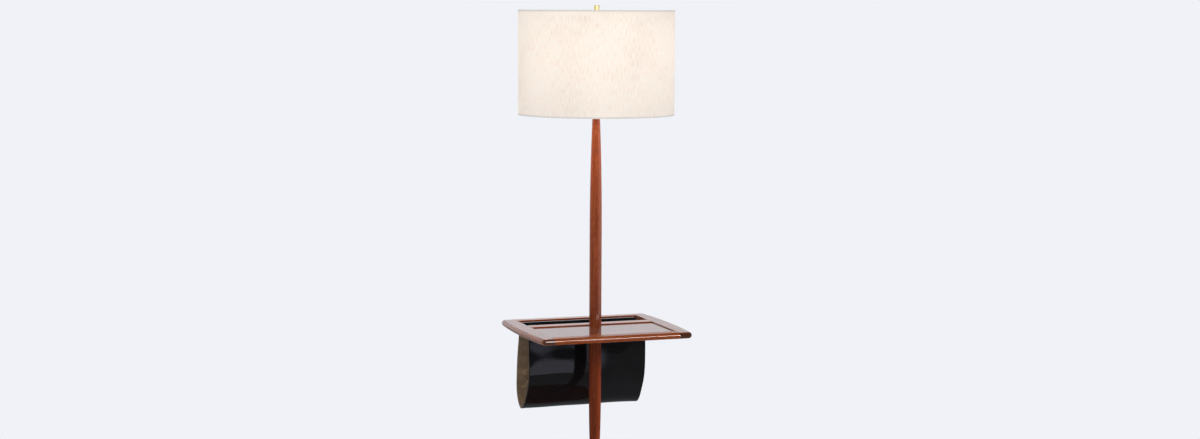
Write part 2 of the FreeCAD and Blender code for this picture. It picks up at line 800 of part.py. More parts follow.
def make_holder_core():
    """Moulded block with the switch's bearing; the threaded shell and contact stand on it."""
    core = disc(core_radius(), holder_seat + core_lift, core_height)
    bearing = Part.makeCylinder(switch_shaft_radius + running_gap, switch_seat_depth + core_gap,
                                Vector(0, -core_radius() + switch_seat_depth, holder_seat + switch_lift),
                                ALONG_Y * -1)
    return core.cut(bearing)


def make_thread_shell():
    """Thin metal sleeve that the bulb's base screws into."""
    bottom = holder_seat + core_lift + core_height
    return tube(thread_shell_radius, thread_shell_radius - thread_shell_wall, bottom, holder_top)


def make_centre_contact():
    return disc(contact_radius, holder_seat + core_lift + core_height, contact_height)


def switch_start():
    """The shaft's inner end, a running gap short of the bottom of its bearing."""
    return -core_radius() + switch_seat_depth - seat_gap


def make_switch_shaft():
    end = -(holder_radius + switch_reach)
    return Part.makeCylinder(switch_shaft_radius, switch_start() - end,
                             Vector(0, end, holder_seat + switch_lift), ALONG_Y)


def make_switch_knob():
    """Fluted knob with a short stem, pressed on the shaft's outer end."""
    stem_start = holder_radius + knob_gap
    grip_start = stem_start + knob_stem_length
    knob = disc(knob_stem_radius, stem_start, knob_stem_length)
    grip = disc(knob_radius, grip_start, knob_length)
    flute = Part.makeCylinder(knob_flute_radius, knob_length, Vector(knob_radius, 0, grip_start), UP)
    knob = knob.fuse(grip).cut(Part.makeCompound(around(flute, knob_flutes)))
    shaft_end = holder_radius + switch_reach
    knob = knob.cut(disc(switch_shaft_radius + glue_gap, stem_start, shaft_end - stem_start))
    knob.rotate(ORIGIN, ALONG_X, 90)
    knob.translate(Vector(0, 0, holder_seat + switch_lift))
    return knob


# ---- bulb ----
def make_bulb_base():
    """Metal screw cap of the bulb, closed below by its contact button."""
    tip = contact_top + bulb_lift
    button = bulb_base_radius * 0.36
    skirt = tip + bulb_base_length * 0.2
    top = tip + bulb_base_length
    wall = thread_shell_wall
    return turned((0, tip), [
        (button, tip),
        (bulb_base_radius, skirt),
        (bulb_base_radius, top),
        (bulb_base_radius - wall, top),
        (bulb_base_radius - wall, skirt + wall),
        (0, skirt + wall)])


def make_bulb_glass():
    """Pear-shaped glass: neck in the cap, then a swelling that closes in a round end."""
    tip = contact_top + bulb_lift
    neck_bottom = tip + bulb_base_length * 0.7
    neck_top = tip + bulb_base_length + bulb_radius * 0.3
    top = tip + bulb_length
    centre = top - bulb_radius
    inner_radius = bulb_radius - bulb_glass_wall
    share = math.sin(math.radians(45))

    def side(neck, ball):
        """Swelling from the neck to the ball's equator, a little hollow below, round above."""
        join = (neck + (ball - neck) * 0.62, neck_top + (centre - neck_top) * 0.52)
        low = ((neck + join[0]) / 2 - ball * 0.045, (neck_top + join[1]) / 2)
        high = ((ball + join[0]) / 2 + ball * 0.05, (centre + join[1]) / 2)
        return join, low, high

    join, low, high = side(bulb_neck_radius, bulb_radius)
    inner_neck = bulb_neck_radius - bulb_glass_wall
    inner_join, inner_low, inner_high = side(inner_neck, inner_radius)
    return turned((inner_neck, neck_bottom), [
        (bulb_neck_radius, neck_bottom),
        (bulb_neck_radius, neck_top),
        (low, join),
        (high, (bulb_radius, centre)),
        ((bulb_radius * share, centre + bulb_radius * share), (0, top)),
        (0, centre + inner_radius),
        ((inner_radius * share, centre + inner_radius * share), (inner_radius, centre)),
        (inner_high, inner_join),
        (inner_low, (inner_neck, neck_top))])


# ---- shade ----
def make_shade_ring(height):
    return Part.makeTorus(ring_centre_radius, ring_wire_radius, Vector(0, 0, height), UP)


def make_spider_arms():
    """Three rods from the top ring in to the hub, level at first and then sloping down."""
    outer = Vector(ring_centre_radius - ring_wire_radius - layer_gap, 0, shade_top - ring_inset)
    knee = outer - ALONG_X * spider_rise_inset
    inner = Vector(hub_radius + layer_gap, 0, hub_bottom + hub_thickness / 2)
    slope = inner - knee
    level = Part.makeCylinder(spider_rod_radius, spider_rise_inset, outer, ALONG_X * -1)
    sloped = Part.makeCylinder(spider_rod_radius, slope.Length, knee, slope)
    elbow = Part.makeSphere(spider_rod_radius, knee)
    arm = level.fuse([sloped, elbow])
    arm = arm.cut(disc(hub_radius + layer_gap, hub_bottom - hub_radius, hub_radius * 2))
    return Part.makeCompound(around(arm, spider_count, -90.0))


def make_spider_hub():
    return tube(hub_radius, stud_radius + running_gap, hub_bottom, hub_bottom + hub_thickness)


def make_shade_fabric():
    return tube(shade_radius, shade_radius - fabric_thickness, shade_bottom + trim_thickness,
                shade_top - trim_thickness)


def make_shade_backing():
    """Stiff translucent sheet behind the fabric."""
    outer = shade_radius - fabric_thickness - layer_gap
    return tube(outer, outer - backing_thickness, shade_bottom + trim_thickness,
                shade_top - trim_thickness)


def make_shade_trim(edge, inward):
    """Narrow tape folded over one edge of the drum: edge is its height, inward is 1 or -1."""
    outer = shade_radius + layer_gap
    top = edge + inward * trim_thickness
    foot = edge + inward * trim_height
    inner = shade_radius - fabric_thickness - backing_thickness - layer_gap
    return turned((outer + trim_thickness, edge), [
        (outer + trim_thickness, foot),
        (outer, foot),
        (outer, top - inward * layer_gap),
        (inner, top - inward * layer_gap),
        (inner, edge)])


# ---- finial ----
def make_finial():
    """Turned brass knob: narrow foot, flared waist, plain drum and a dished top."""
    bottom = hub_bottom + hub_thickness + seat_gap
    top = shade_top + finial_above_shade
    waist = bottom + finial_foot_height
    drum = waist + finial_waist_height
    dimple_edge = math.sqrt(finial_dimple_radius ** 2 - (finial_dimple_radius - finial_dimple_depth) ** 2)
    half_turn = math.asin(dimple_edge / finial_dimple_radius) / 2
    dimple_centre = top + finial_dimple_radius - finial_dimple_depth
    finial = turned((0, bottom), [
        (finial_foot_radius, bottom),
        (finial_foot_radius, waist),
        (bulge_point((finial_foot_radius, waist), (finial_radius, drum), -finial_edge),
         (finial_radius, drum)),
        (finial_radius, top - finial_edge),
        (finial_radius - finial_edge, top),
        (dimple_edge, top),
        ((finial_dimple_radius * math.sin(half_turn),
          dimple_centre - finial_dimple_radius * math.cos(half_turn)),
         (0, top - finial_dimple_depth))])
    bore_top = yoke_top + stud_height + thread_spare
    return finial.cut(disc(stud_radius + running_gap, bottom, bore_top - bottom))


# ---- build ----
def main():
    os.makedirs("parts", exist_ok=True)
    save(make_base_pad(), "base_pad")
    save(make_base_disc(), "base_disc")
    save(make_base_weight(), "base_weight")
    save(make_base_washer(), "base_washer")
    save(make_base_nut(), "base_nut")
    save(make_cord_inlet(), "cord_inlet")
    save(make_lower_pole(), "lower_pole")
    save(make_upper_pole(), "upper_pole")
    save(make_lamp_pipe(), "lamp_pipe")
    save(make_side_rail(-1), "left_rail")
    save(make_side_rail(1), "right_rail")
    save(make_front_rail(), "front_rail")
    save(make_back_rail(), "back_rail")
    save(make_cross_rail(), "cross_rail")
    save(Part.makeCompound(dowels(dowel_radius, dowel_length / 2)), "rail_dowels")
    save(make_table_panel(), "table_panel")
    save(make_table_plate(), "table_plate")
    save(make_plate_screws(), "plate_screws")
    save(make_sling(), "magazine_sling")
    save(make_sling_rod(front_rod_y), "front_sling_rod")
    save(make_sling_rod(rear_rod_y), "rear_sling_rod")
    save(make_pole_cap(), "pole_cap")
    save(make_harp_saddle(), "harp_saddle")
    save(make_harp(), "harp")
    save(make_ferrule(-1), "left_ferrule")
    save(make_ferrule(1), "right_ferrule")
    save(make_harp_stud(), "harp_stud")
    save(make_holder_cap(), "holder_cap")
    save(make_holder_shell(), "holder_shell")
    save(make_holder_liner(), "holder_liner")
    save(make_holder_core(), "holder_core")
    save(make_thread_shell(), "thread_shell")
    save(make_centre_contact(), "centre_contact")
    save(make_switch_shaft(), "switch_shaft")
    save(make_switch_knob(), "switch_knob")
    save(make_bulb_base(), "bulb_base")
    save(make_bulb_glass(), "bulb_glass")
    save(make_shade_ring(shade_top - ring_inset), "shade_top_ring")
    save(make_shade_ring(shade_bottom + ring_inset), "shade_bottom_ring")
    save(make_spider_arms(), "spider_arms")
    save(make_spider_hub(), "spider_hub")
    save(make_shade_fabric(), "shade_fabric")
    save(make_shade_backing(), "shade_backing")
    save(make_shade_trim(shade_top, -1), "shade_top_trim")
    save(make_shade_trim(shade_bottom, 1), "shade_bottom_trim")
    save(make_finial(), "finial")


main()
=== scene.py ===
import math

import bpy
import numpy as np
from mathutils import Matrix, Vector


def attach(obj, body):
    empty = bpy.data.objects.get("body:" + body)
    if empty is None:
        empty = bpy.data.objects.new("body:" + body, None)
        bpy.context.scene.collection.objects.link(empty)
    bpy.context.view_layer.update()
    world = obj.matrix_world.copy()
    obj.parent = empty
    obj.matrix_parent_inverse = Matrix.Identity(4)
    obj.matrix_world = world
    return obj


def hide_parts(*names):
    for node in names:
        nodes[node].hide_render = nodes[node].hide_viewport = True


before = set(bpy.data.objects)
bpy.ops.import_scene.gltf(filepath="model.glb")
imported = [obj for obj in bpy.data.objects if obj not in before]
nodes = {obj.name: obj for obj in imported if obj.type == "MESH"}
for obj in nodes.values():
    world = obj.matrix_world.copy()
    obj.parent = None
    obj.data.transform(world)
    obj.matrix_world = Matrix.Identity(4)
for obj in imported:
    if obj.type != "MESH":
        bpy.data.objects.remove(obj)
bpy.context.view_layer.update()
print("frame loaded:", len(nodes), "nodes")

cameraLook = {
    "place": (-2.027, -5.728, 1.493),  # metres; about the height of the shade's top rim
    "heading": 19.613,  # degrees from +Y towards +X
    "dip": 7.207,  # degrees below level
    "roll": 0.2819,  # right side of the camera tilted up
    "sensor": 36, "lens": 62.12,  # mm
    "shift": 0.0424,  # the photograph was cut off centre, low part missing
    "reach": 200,  # metres that it sees
}


def newObject(name, data):
    made = bpy.data.objects.new(name, data)
    bpy.context.scene.collection.objects.link(made)
    return made


def makeCamera(look):
    # right, up and back directions from heading, dip and roll are the columns of the camera's turn
    heading, dip, roll = (math.radians(look[key]) for key in ("heading", "dip", "roll"))
    forward = Vector((math.sin(heading) * math.cos(dip), math.cos(heading) * math.cos(dip), -math.sin(dip)))
    right = Vector((math.cos(heading), -math.sin(heading), 0))
    up = right.cross(forward)
    rolledRight = right * math.cos(roll) + up * math.sin(roll)
    rolledUp = up * math.cos(roll) - right * math.sin(roll)
    data = bpy.data.cameras.new("photoCamera")
    data.sensor_fit = "HORIZONTAL"
    data.sensor_width = look["sensor"]
    data.lens = look["lens"]
    data.shift_y = look["shift"]
    data.clip_end = look["reach"]
    camera = newObject("photoCamera", data)
    turn = Matrix((rolledRight, rolledUp, -forward)).transposed().to_4x4()
    camera.matrix_world = Matrix.Translation(look["place"]) @ turn
    bpy.context.scene.camera = camera


makeCamera(cameraLook)
bpy.context.scene.view_settings.view_transform = "Standard"
print("camera set")


def linearColour(hexCode):
    # sRGB hex digits to linear light, with a last value of 1
    values = np.array([int(hexCode[i:i + 2], 16) for i in (0, 2, 4)]) / 255
    linear = np.where(values <= 0.04045, values / 12.92, ((values + 0.055) / 1.055) ** 2.4)
    return (*linear.tolist(), 1.0)


def addNode(tree, kind, settings=None, links=None):
    # one node: settings go to its inputs by name or number, or else to the node itself, and "stops" fills a
    # colour ramp; links come from an output, or from a node's first one
    node = tree.nodes.new("ShaderNode" + kind)
    for key, value in (settings or {}).items():
        if key == "stops":
            elements = node.color_ramp.elements
            while len(elements) > len(value):
                elements.remove(elements[-1])
            while len(elements) < len(value):
                elements.new(1)
            for element, (position, colour) in zip(elements, value):
                element.position = position
                element.color = linearColour(colour)
        elif isinstance(key, int) or key in node.inputs:
            node.inputs[key].default_value = value
        else:
            setattr(node, key, value)
    for key, source in (links or {}).items():
        tree.links.new(source.outputs[0] if isinstance(source, bpy.types.Node) else source, node.inputs[key])
    return node


def startMaterial(name, place="TexCoord", settings=None):
    material = bpy.data.materials.new(name)
    material.use_nodes = True
    material.node_tree.nodes.clear()
    return material, material.node_tree, addNode(material.node_tree, place, settings)


def cloudedTone(tree, place, scale, detail, look):
    # soft clouds between a dark and a light tone, about as many to a metre as scale says
    cloud = addNode(tree, "TexNoise", {"Scale": scale, "Detail": detail}, {"Vector": place.outputs["Object"]})
    colour = addNode(tree, "Mix", {
        "data_type": "RGBA", 6: linearColour(look["dark"]), 7: linearColour(look["light"])},
        {0: cloud.outputs["Fac"]})
    return cloud, colour


def addedShares(tree, parts):
    # patterns times their shares, added one after another
    total = None
    for pattern, share in parts:
        if total is None:
            total = addNode(tree, "Math", {"operation": "MULTIPLY", 1: share}, {0: pattern})
        else:
            total = addNode(tree, "Math", {"operation": "MULTIPLY_ADD", 1: share}, {0: pattern, 2: total})
    return total


def roundAngles(count):
    return np.linspace(0, 2 * math.pi, count, endpoint=False)


def gridMesh(name, points, closedRows, closedColumns, uv=None):
    # points is a rows x columns x 3 array; neighbours are joined by quads, and a closed way joins its last
    # line to its first
    rows, columns = points.shape[:2]
    downRow = np.arange(rows if closedRows else rows - 1)
    acrossColumn = np.arange(columns if closedColumns else columns - 1)
    a, b = np.meshgrid(downRow, acrossColumn, indexing="ij")
    nextRow, nextColumn = (a + 1) % rows, (b + 1) % columns
    corners = np.stack([a * columns + b, a * columns + nextColumn,
                        nextRow * columns + nextColumn, nextRow * columns + b], -1).reshape(-1, 4)
    mesh = bpy.data.meshes.new(name)
    mesh.from_pydata(points.reshape(-1, 3).tolist(), [], corners.tolist())
    if uv is not None:
        # uv is one row and one column larger where that way is closed, so the pattern doesn't run back
        wide = uv.shape[1]
        uvCorners = np.stack([a * wide + b, a * wide + b + 1,
                              (a + 1) * wide + b + 1, (a + 1) * wide + b], -1)
        layer = mesh.uv_layers.new(name="clothMap")
        layer.data.foreach_set("uv", uv.reshape(-1, 2)[uvCorners.reshape(-1)].ravel())
    return mesh


def addPiece(name, mesh, materials, body):
    piece = newObject(name, mesh)
    for material in materials:
        mesh.materials.append(material)
    mesh.polygons.foreach_set("use_smooth", np.full(len(mesh.polygons), True))
    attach(piece, body)
    return piece


def turnedMesh(name, profile, segments, uv=None):
    # a closed outline of (radius, height) points carried round the Z axis
    angles = roundAngles(segments)
    profile = np.asarray(profile, float)
    ring = profile[:, None, 0] * np.stack([np.cos(angles), np.sin(angles)])[:, None, :]
    points = np.stack([ring[0], ring[1], np.repeat(profile[:, 1:], segments, 1)], -1)
    return gridMesh(name, points, True, True, uv)


# all woods share this grain; the scales are across, across and along it, in repeats to a metre
walnutGrain = {
    "bends": 3.5,  # slow bends, 290 mm long
    "streaks": (230, 230, 5.5),  # bands 4 mm wide and 180 mm long
    "broad": (26, 26, 3),  # clouds 40 mm wide and 330 mm long
    "pores": (1100, 1100, 62),  # real pores are 0.3 mm wide, drawn at 0.9 mm so that they show
    "ringShare": 0.24, "streakShare": 0.62, "broadShare": 0.3,  # how much each moves the tone
    "tones": (0.36, 0.55, 0.74), "poreRange": (0.36, 0.5), "endRange": (0.35, 0.8),
    "poreRough": 0.5, "woodRough": 0.34, "poreDepth": 0.0002,
}


def walnutMaterial(name, look):
    # Walnut, sawn, sanded and sprayed with a satin lacquer: long dark pores and warm growth bands
    # under a clear skin that mirrors the room at a low angle
    grain = walnutGrain
    material, tree, place = startMaterial(name)
    turned = addNode(tree, "Mapping", {"Location": look["centre"], "Rotation": look["turn"]},
                     {"Vector": place.outputs["Object"]})  # after it the grain runs along Z
    wander = addNode(tree, "TexNoise", {"Scale": grain["bends"], "Detail": 2}, {"Vector": turned})
    bent = addNode(tree, "VectorMath", {"operation": "MULTIPLY_ADD", 1: (look["wander"],) * 2 + (0,)},
                   {0: wander.outputs["Color"], 2: turned})
    rings = addNode(tree, "TexWave", {
        "wave_type": "RINGS", "rings_direction": "Z", "Scale": look["ringScale"], "Distortion": 1.2,
        "Detail": 2, "Detail Scale": 1.5}, {"Vector": bent})
    streakMap = addNode(tree, "Mapping", {"Scale": grain["streaks"]}, {"Vector": bent})
    streaks = addNode(tree, "TexNoise", {"Scale": 1, "Detail": 3, "Roughness": 0.6}, {"Vector": streakMap})
    broadMap = addNode(tree, "Mapping", {"Scale": grain["broad"]}, {"Vector": turned})
    broad = addNode(tree, "TexNoise", {"Scale": 1, "Detail": 1}, {"Vector": broadMap})
    poreMap = addNode(tree, "Mapping", {"Scale": grain["pores"]}, {"Vector": bent})
    pores = addNode(tree, "TexNoise", {"Scale": 1, "Detail": 1}, {"Vector": poreMap})
    poreMask = addNode(tree, "MapRange", {
        "From Min": grain["poreRange"][0], "From Max": grain["poreRange"][1]}, {0: pores.outputs["Fac"]})
    mixed = addedShares(tree, [
        (rings.outputs["Fac"], grain["ringShare"]), (streaks.outputs["Fac"], grain["streakShare"]),
        (broad.outputs["Fac"], grain["broadShare"])])
    tone = addNode(tree, "ValToRGB", {
        "stops": list(zip(grain["tones"], (look["dark"], look["middle"], look["light"])))}, {"Fac": mixed})
    pored = addNode(tree, "Mix", {"data_type": "RGBA", 6: linearColour(look["pore"])},
                    {0: poreMask, 7: tone})
    facing = addNode(tree, "SeparateXYZ", None, {0: place.outputs["Normal"]})
    along = addNode(tree, "Math", {"operation": "ABSOLUTE"}, {0: facing.outputs[look["grain"]]})
    endShare = addNode(tree, "MapRange", {
        "From Min": grain["endRange"][0], "From Max": grain["endRange"][1], "To Max": look["endDark"]},
        {0: along})  # a face across the grain shows dark end grain
    ended = addNode(tree, "Mix", {"data_type": "RGBA", 7: linearColour(look["endGrain"])},
                    {0: endShare, 6: pored.outputs[2]})
    dull = addNode(tree, "MapRange", {"To Min": grain["poreRough"], "To Max": grain["woodRough"]},
                   {0: poreMask})
    bump = addNode(tree, "Bump", {"Strength": look["bump"], "Distance": grain["poreDepth"]},
                   {"Height": pores.outputs["Fac"]})
    wood = addNode(tree, "BsdfPrincipled", {
        "IOR": 1.5, "Specular IOR Level": look["gloss"], "Coat Weight": look["coat"],
        "Coat Roughness": look["coatRough"], "Coat IOR": 1.5},
        {"Base Color": ended.outputs[2], "Roughness": dull, "Normal": bump})
    addNode(tree, "OutputMaterial", None, {"Surface": wood})
    return material


# centre is the piece's place in the tree, in metres from its heart; a ringScale of 70 puts the rings
# 4.5 mm apart, and one of 34 puts them 9 mm apart
poleWood = {
    "centre": (0.011, 0.06, 0.3), "turn": (0, 0, 0), "grain": "Z", "wander": 0.012, "ringScale": 70,
    "dark": "72331c", "middle": "823d22", "light": "924a2b", "pore": "67301a",
    "endGrain": "3d1c10", "endDark": 0.8, "gloss": 0.03, "coat": 0.5, "coatRough": 0.18, "bump": 0.05,
}
# the lower pole: the same walnut painted darker, a painted shade for the shadow under the table, with less
# coat
shadedLowerPoleWood = dict(poleWood, centre=(0.02, 0.045, 0.9), coat=0.18,
                     dark="5d2410", middle="6a2b13", light="783518", pore="52210f")
sideRailWood = {
    "centre": (0.02, 0.09, 0.4), "turn": (math.radians(90), 0, 0), "grain": "Y", "wander": 0.02,
    "ringScale": 62, "dark": "6a3420", "middle": "83472c", "light": "9c5c3c", "pore": "54291a",
    "endGrain": "3a1a0e", "endDark": 0.85, "gloss": 0.03, "coat": 0.92, "coatRough": 0.06, "bump": 0.04,
}
crossRailWood = dict(sideRailWood, turn=(0, math.radians(90), 0), grain="X", centre=(0.3, 0.05, 0.02),
                     dark="863c13", middle="964615", light="a6511b", pore="713110")
# the front rail: the cross rails' walnut painted darker, a painted shade for its front face, under a thinner,
# sharper coat
shadedFrontRailWood = dict(crossRailWood, coat=0.5, coatRough=0.03, bump=0.02,
                     dark="7a3510", middle="8a3f12", light="9c4d17", pore="672c0d")
panelWood = dict(sideRailWood, turn=(0, math.radians(90), 0), grain="X", centre=(0.62, 0.02, 0.1),
                 ringScale=34, wander=0.03, coat=1.0, dark="6a3826", middle="804a34", light="955d43")
baseWood = dict(panelWood, centre=(0.1, 0.04, 0.07), dark="68301a", middle="823f22", light="9a5530")

poleWalnut = walnutMaterial("lacqueredWalnutPole", poleWood)
shadedLowerWalnut = walnutMaterial("lacqueredWalnutLowerPoleShaded", shadedLowerPoleWood)
sideWalnut = walnutMaterial("lacqueredWalnutSideRail", sideRailWood)
crossWalnut = walnutMaterial("lacqueredWalnutCrossRail", crossRailWood)
shadedFrontWalnut = walnutMaterial("lacqueredWalnutFrontRailShaded", shadedFrontRailWood)
panelWalnut = walnutMaterial("lacqueredWalnutPanel", panelWood)
baseWalnut = walnutMaterial("lacqueredWalnutBase", baseWood)


def metalMaterial(name, look):
    # a turned or drawn metal: fine tool lines round or along it, and soft cloudy handling marks
    material, tree, place = startMaterial(name)
    lineMap = addNode(tree, "Mapping", {"Scale": look["lines"]}, {"Vector": place.outputs["Object"]})
    lines = addNode(tree, "TexNoise", {"Scale": 1, "Detail": 2}, {"Vector": lineMap})
    cloud, colour = cloudedTone(tree, place, 90, 3, look)  # marks 11 mm wide
    rough = addNode(tree, "MapRange", {"To Min": look["smooth"], "To Max": look["rough"]},
                    {0: cloud.outputs["Fac"]})
    bump = addNode(tree, "Bump", {"Strength": look["bump"], "Distance": 0.0002},
                   {"Height": lines.outputs["Fac"]})
    metal = addNode(tree, "BsdfPrincipled", {"Metallic": 1.0},
                    {"Base Color": colour.outputs[2], "Roughness": rough, "Normal": bump})
    addNode(tree, "OutputMaterial", None, {"Surface": metal})
    return material


# lines are tool marks to a metre along X, Y and Z: 2500 is one each 0.4 mm
# turned and drawn brass, polished and lacquered: bright and warm, a nearly clear mirror
polishedBrass = metalMaterial("polishedBrass", {
    "lines": (60, 60, 2500), "dark": "e0b250", "light": "f5d47c", "smooth": 0.1, "rough": 0.24, "bump": 0.1})
# the finial: brass painted paler than the rest, a painted highlight for its soft, almost white shine; a
# little rougher
paleHighlightBrass = metalMaterial("paintedHighlightBrassFinial", {
    "lines": (60, 60, 2500), "dark": "f8df93", "light": "fff0c0", "smooth": 0.24, "rough": 0.36,
    "bump": 0.1})
# drawn steel, zinc-plated: cool grey with long lines
drawnSteel = metalMaterial("zincPlatedSteel", {
    "lines": (300, 2200, 2200), "dark": "8f9194", "light": "b4b5b6", "smooth": 0.24, "rough": 0.42,
    "bump": 0.15})
# rolled sheet, nickelled: a greyish, slightly warm shine
thinThread = metalMaterial("nickelledThreadShell", {
    "lines": (200, 200, 1800), "dark": "a8a39a", "light": "cdc9c0", "smooth": 0.18, "rough": 0.34,
    "bump": 0.1})
# sand-cast iron, bare: dark, rough and dull
castIron = metalMaterial("castIronWeight", {
    "lines": (500, 500, 500), "dark": "35363a", "light": "515256", "smooth": 0.55, "rough": 0.78,
    "bump": 0.6})


def mouldedMaterial(name, look):
    # a moulded, painted or pressed skin: one tone with faint clouds and a fine grain that softens its shine
    material, tree, place = startMaterial(name)
    cloud, colour = cloudedTone(tree, place, look["cloud"], 3, look)
    grain = addNode(tree, "TexNoise", {"Scale": look["grain"], "Detail": 2},
                    {"Vector": place.outputs["Object"]})
    rough = addNode(tree, "MapRange", {"To Min": look["smooth"], "To Max": look["rough"]},
                    {0: grain.outputs["Fac"]})
    bump = addNode(tree, "Bump", {"Strength": look["bump"], "Distance": 0.0004},
                   {"Height": grain.outputs["Fac"]})
    skin = addNode(tree, "BsdfPrincipled", {"IOR": 1.5, "Sheen Weight": look.get("sheen", 0.0)},
                   {"Base Color": colour.outputs[2], "Roughness": rough, "Normal": bump})
    addNode(tree, "OutputMaterial", None, {"Surface": skin})
    return material


# cloud and grain are repeats to a metre: a grain of 1600 is 0.6 mm fine
# phenolic, press-moulded: near black with a soft shine
blackPlastic = mouldedMaterial("phenolicPlastic", {
    "cloud": 60, "grain": 1600, "dark": "141312", "light": "211f1d", "smooth": 0.26, "rough": 0.4,
    "bump": 0.08})
# moulded rubber: black and dull
softRubber = mouldedMaterial("rubberGrommet", {
    "cloud": 60, "grain": 1200, "dark": "171718", "light": "222223", "smooth": 0.6, "rough": 0.8,
    "bump": 0.2})
# steel wire under baked white enamel: smooth and a little shiny
whiteWire = mouldedMaterial("whiteEnamelWire", {
    "cloud": 80, "grain": 900, "dark": "e6e3dc", "light": "f2f0ea", "smooth": 0.3, "rough": 0.42,
    "bump": 0.08})
# vulcanised paper tube: brown, dry, faint fibres
brownPaper = mouldedMaterial("vulcanisedPaper", {
    "cloud": 120, "grain": 900, "dark": "6e5334", "light": "8a6b46", "smooth": 0.8, "rough": 0.95,
    "bump": 0.3})
# pressed wool: no shine, a pale bloom at its edges
woolFelt = mouldedMaterial("pressedWoolFelt", {
    "cloud": 300, "grain": 1400, "dark": "26231f", "light": "3a352f", "smooth": 0.92, "rough": 1.0,
    "bump": 0.8, "sheen": 0.4})
# twisted black thread, waxed: small dull glints
waxedThread = mouldedMaterial("waxedThread", {
    "cloud": 500, "grain": 2500, "dark": "0e0e0f", "light": "1d1d1f", "smooth": 0.45, "rough": 0.6,
    "bump": 0.4})
# cut hide, burnished: dark brown and half dull
cutEdge = mouldedMaterial("burnishedLeatherEdge", {
    "cloud": 200, "grain": 1500, "dark": "20160f", "light": "3a291b", "smooth": 0.45, "rough": 0.65,
    "bump": 0.2})

leatherLook = {
    "dark": "0c0c0d", "light": "161618", "smooth": 0.03, "rough": 0.07, "gloss": 0.22,
    "pebbles": 620,  # real pebbles are near 0.8 mm, drawn at 1.6 mm
    "pebbleBump": 0.05, "pebbleDepth": 0.0003,
    "clouds": 22,  # 45 mm wide
    "stretch": (9, 120, 120),  # lines 110 mm long and 8 mm wide
    "stretchBump": 0.06, "stretchDepth": 0.0006,
}


def leatherMaterial(look):
    # Vegetable-tanned hide, dyed black and glazed: small pebbled grain, long faint stretch lines and a
    # soft mirror
    material, tree, place = startMaterial("glazedBlackLeather")
    pebbles = addNode(tree, "TexVoronoi", {
        "feature": "SMOOTH_F1", "Scale": look["pebbles"], "Smoothness": 0.6},
        {"Vector": place.outputs["Object"]})
    cloud, colour = cloudedTone(tree, place, look["clouds"], 4, look)
    stretchMap = addNode(tree, "Mapping", {"Scale": look["stretch"]}, {"Vector": place.outputs["Object"]})
    stretch = addNode(tree, "TexNoise", {"Scale": 1, "Detail": 3}, {"Vector": stretchMap})
    rough = addNode(tree, "MapRange", {"To Min": look["smooth"], "To Max": look["rough"]},
                    {0: cloud.outputs["Fac"]})
    fine = addNode(tree, "Bump", {"Strength": look["pebbleBump"], "Distance": look["pebbleDepth"]},
                   {"Height": pebbles.outputs["Distance"]})
    bump = addNode(tree, "Bump", {"Strength": look["stretchBump"], "Distance": look["stretchDepth"]},
                   {"Height": stretch.outputs["Fac"], "Normal": fine})
    hide = addNode(tree, "BsdfPrincipled", {"IOR": 1.5, "Specular IOR Level": look["gloss"]},
                   {"Base Color": colour.outputs[2], "Roughness": rough, "Normal": bump})
    addNode(tree, "OutputMaterial", None, {"Surface": hide})
    return material


suedeLook = {
    "tones": [(0.3, "64523f"), (0.52, "786450"), (0.75, "8c775f")], "worn": "b09a7c", "wornShare": 0.6,
    "clouds": 34,  # strokes 30 mm wide
    "nap": 700, "napBump": 0.5, "napDepth": 0.0004,  # real nap is finer, drawn at 1.4 mm
}


def suedeMaterial(look):
    # The hide's flesh side: brown nap with lighter and darker strokes, dull, rubbed paler on its creases
    material, tree, place = startMaterial("brownSuedeFlesh")
    cloud = addNode(tree, "TexNoise", {"Scale": look["clouds"], "Detail": 5, "Roughness": 0.65},
                    {"Vector": place.outputs["Object"]})
    nap = addNode(tree, "TexNoise", {"Scale": look["nap"], "Detail": 2},
                  {"Vector": place.outputs["Object"]})
    tone = addNode(tree, "ValToRGB", {"stops": look["tones"]}, {"Fac": cloud.outputs["Fac"]})
    rub = addNode(tree, "Attribute", {"attribute_name": "creaseRub"})
    rubShare = addNode(tree, "Math", {"operation": "MULTIPLY", 1: look["wornShare"]},
                       {0: rub.outputs["Fac"]})
    rubbed = addNode(tree, "Mix", {"data_type": "RGBA", 7: linearColour(look["worn"])},
                     {0: rubShare, 6: tone})
    bump = addNode(tree, "Bump", {"Strength": look["napBump"], "Distance": look["napDepth"]},
                   {"Height": nap.outputs["Fac"]})
    flesh = addNode(tree, "BsdfPrincipled", {
        "IOR": 1.5, "Specular IOR Level": 0.15, "Roughness": 0.95, "Sheen Weight": 0.25,
        "Sheen Roughness": 0.5}, {"Base Color": rubbed.outputs[2], "Normal": bump})
    addNode(tree, "OutputMaterial", None, {"Surface": flesh})
    return material


glazedLeather = leatherMaterial(leatherLook)
brownSuede = suedeMaterial(suedeLook)

# each part of the weave has its scale across and up the shade, in repeats to a metre, its detail and its
# share of the tone
linenWeave = {
    "slubs": ((420, 48, 1), 2, 0.5),  # 2.4 mm wide and 20 mm long
    "threads": ((900, 30, 1), 1, 0.22),  # real threads are 0.5 mm apart, drawn at 1.1 mm
    "weft": ((26, 900, 1), 1, 0.12),
    "clouds": 9, "cloudShare": 0.16,  # 110 mm wide
    "tones": (0.34, 0.5, 0.66), "bump": 0.25, "depth": 0.0003,
    "bleach": 0.7,  # how far light that comes through loses the threads' tone
}


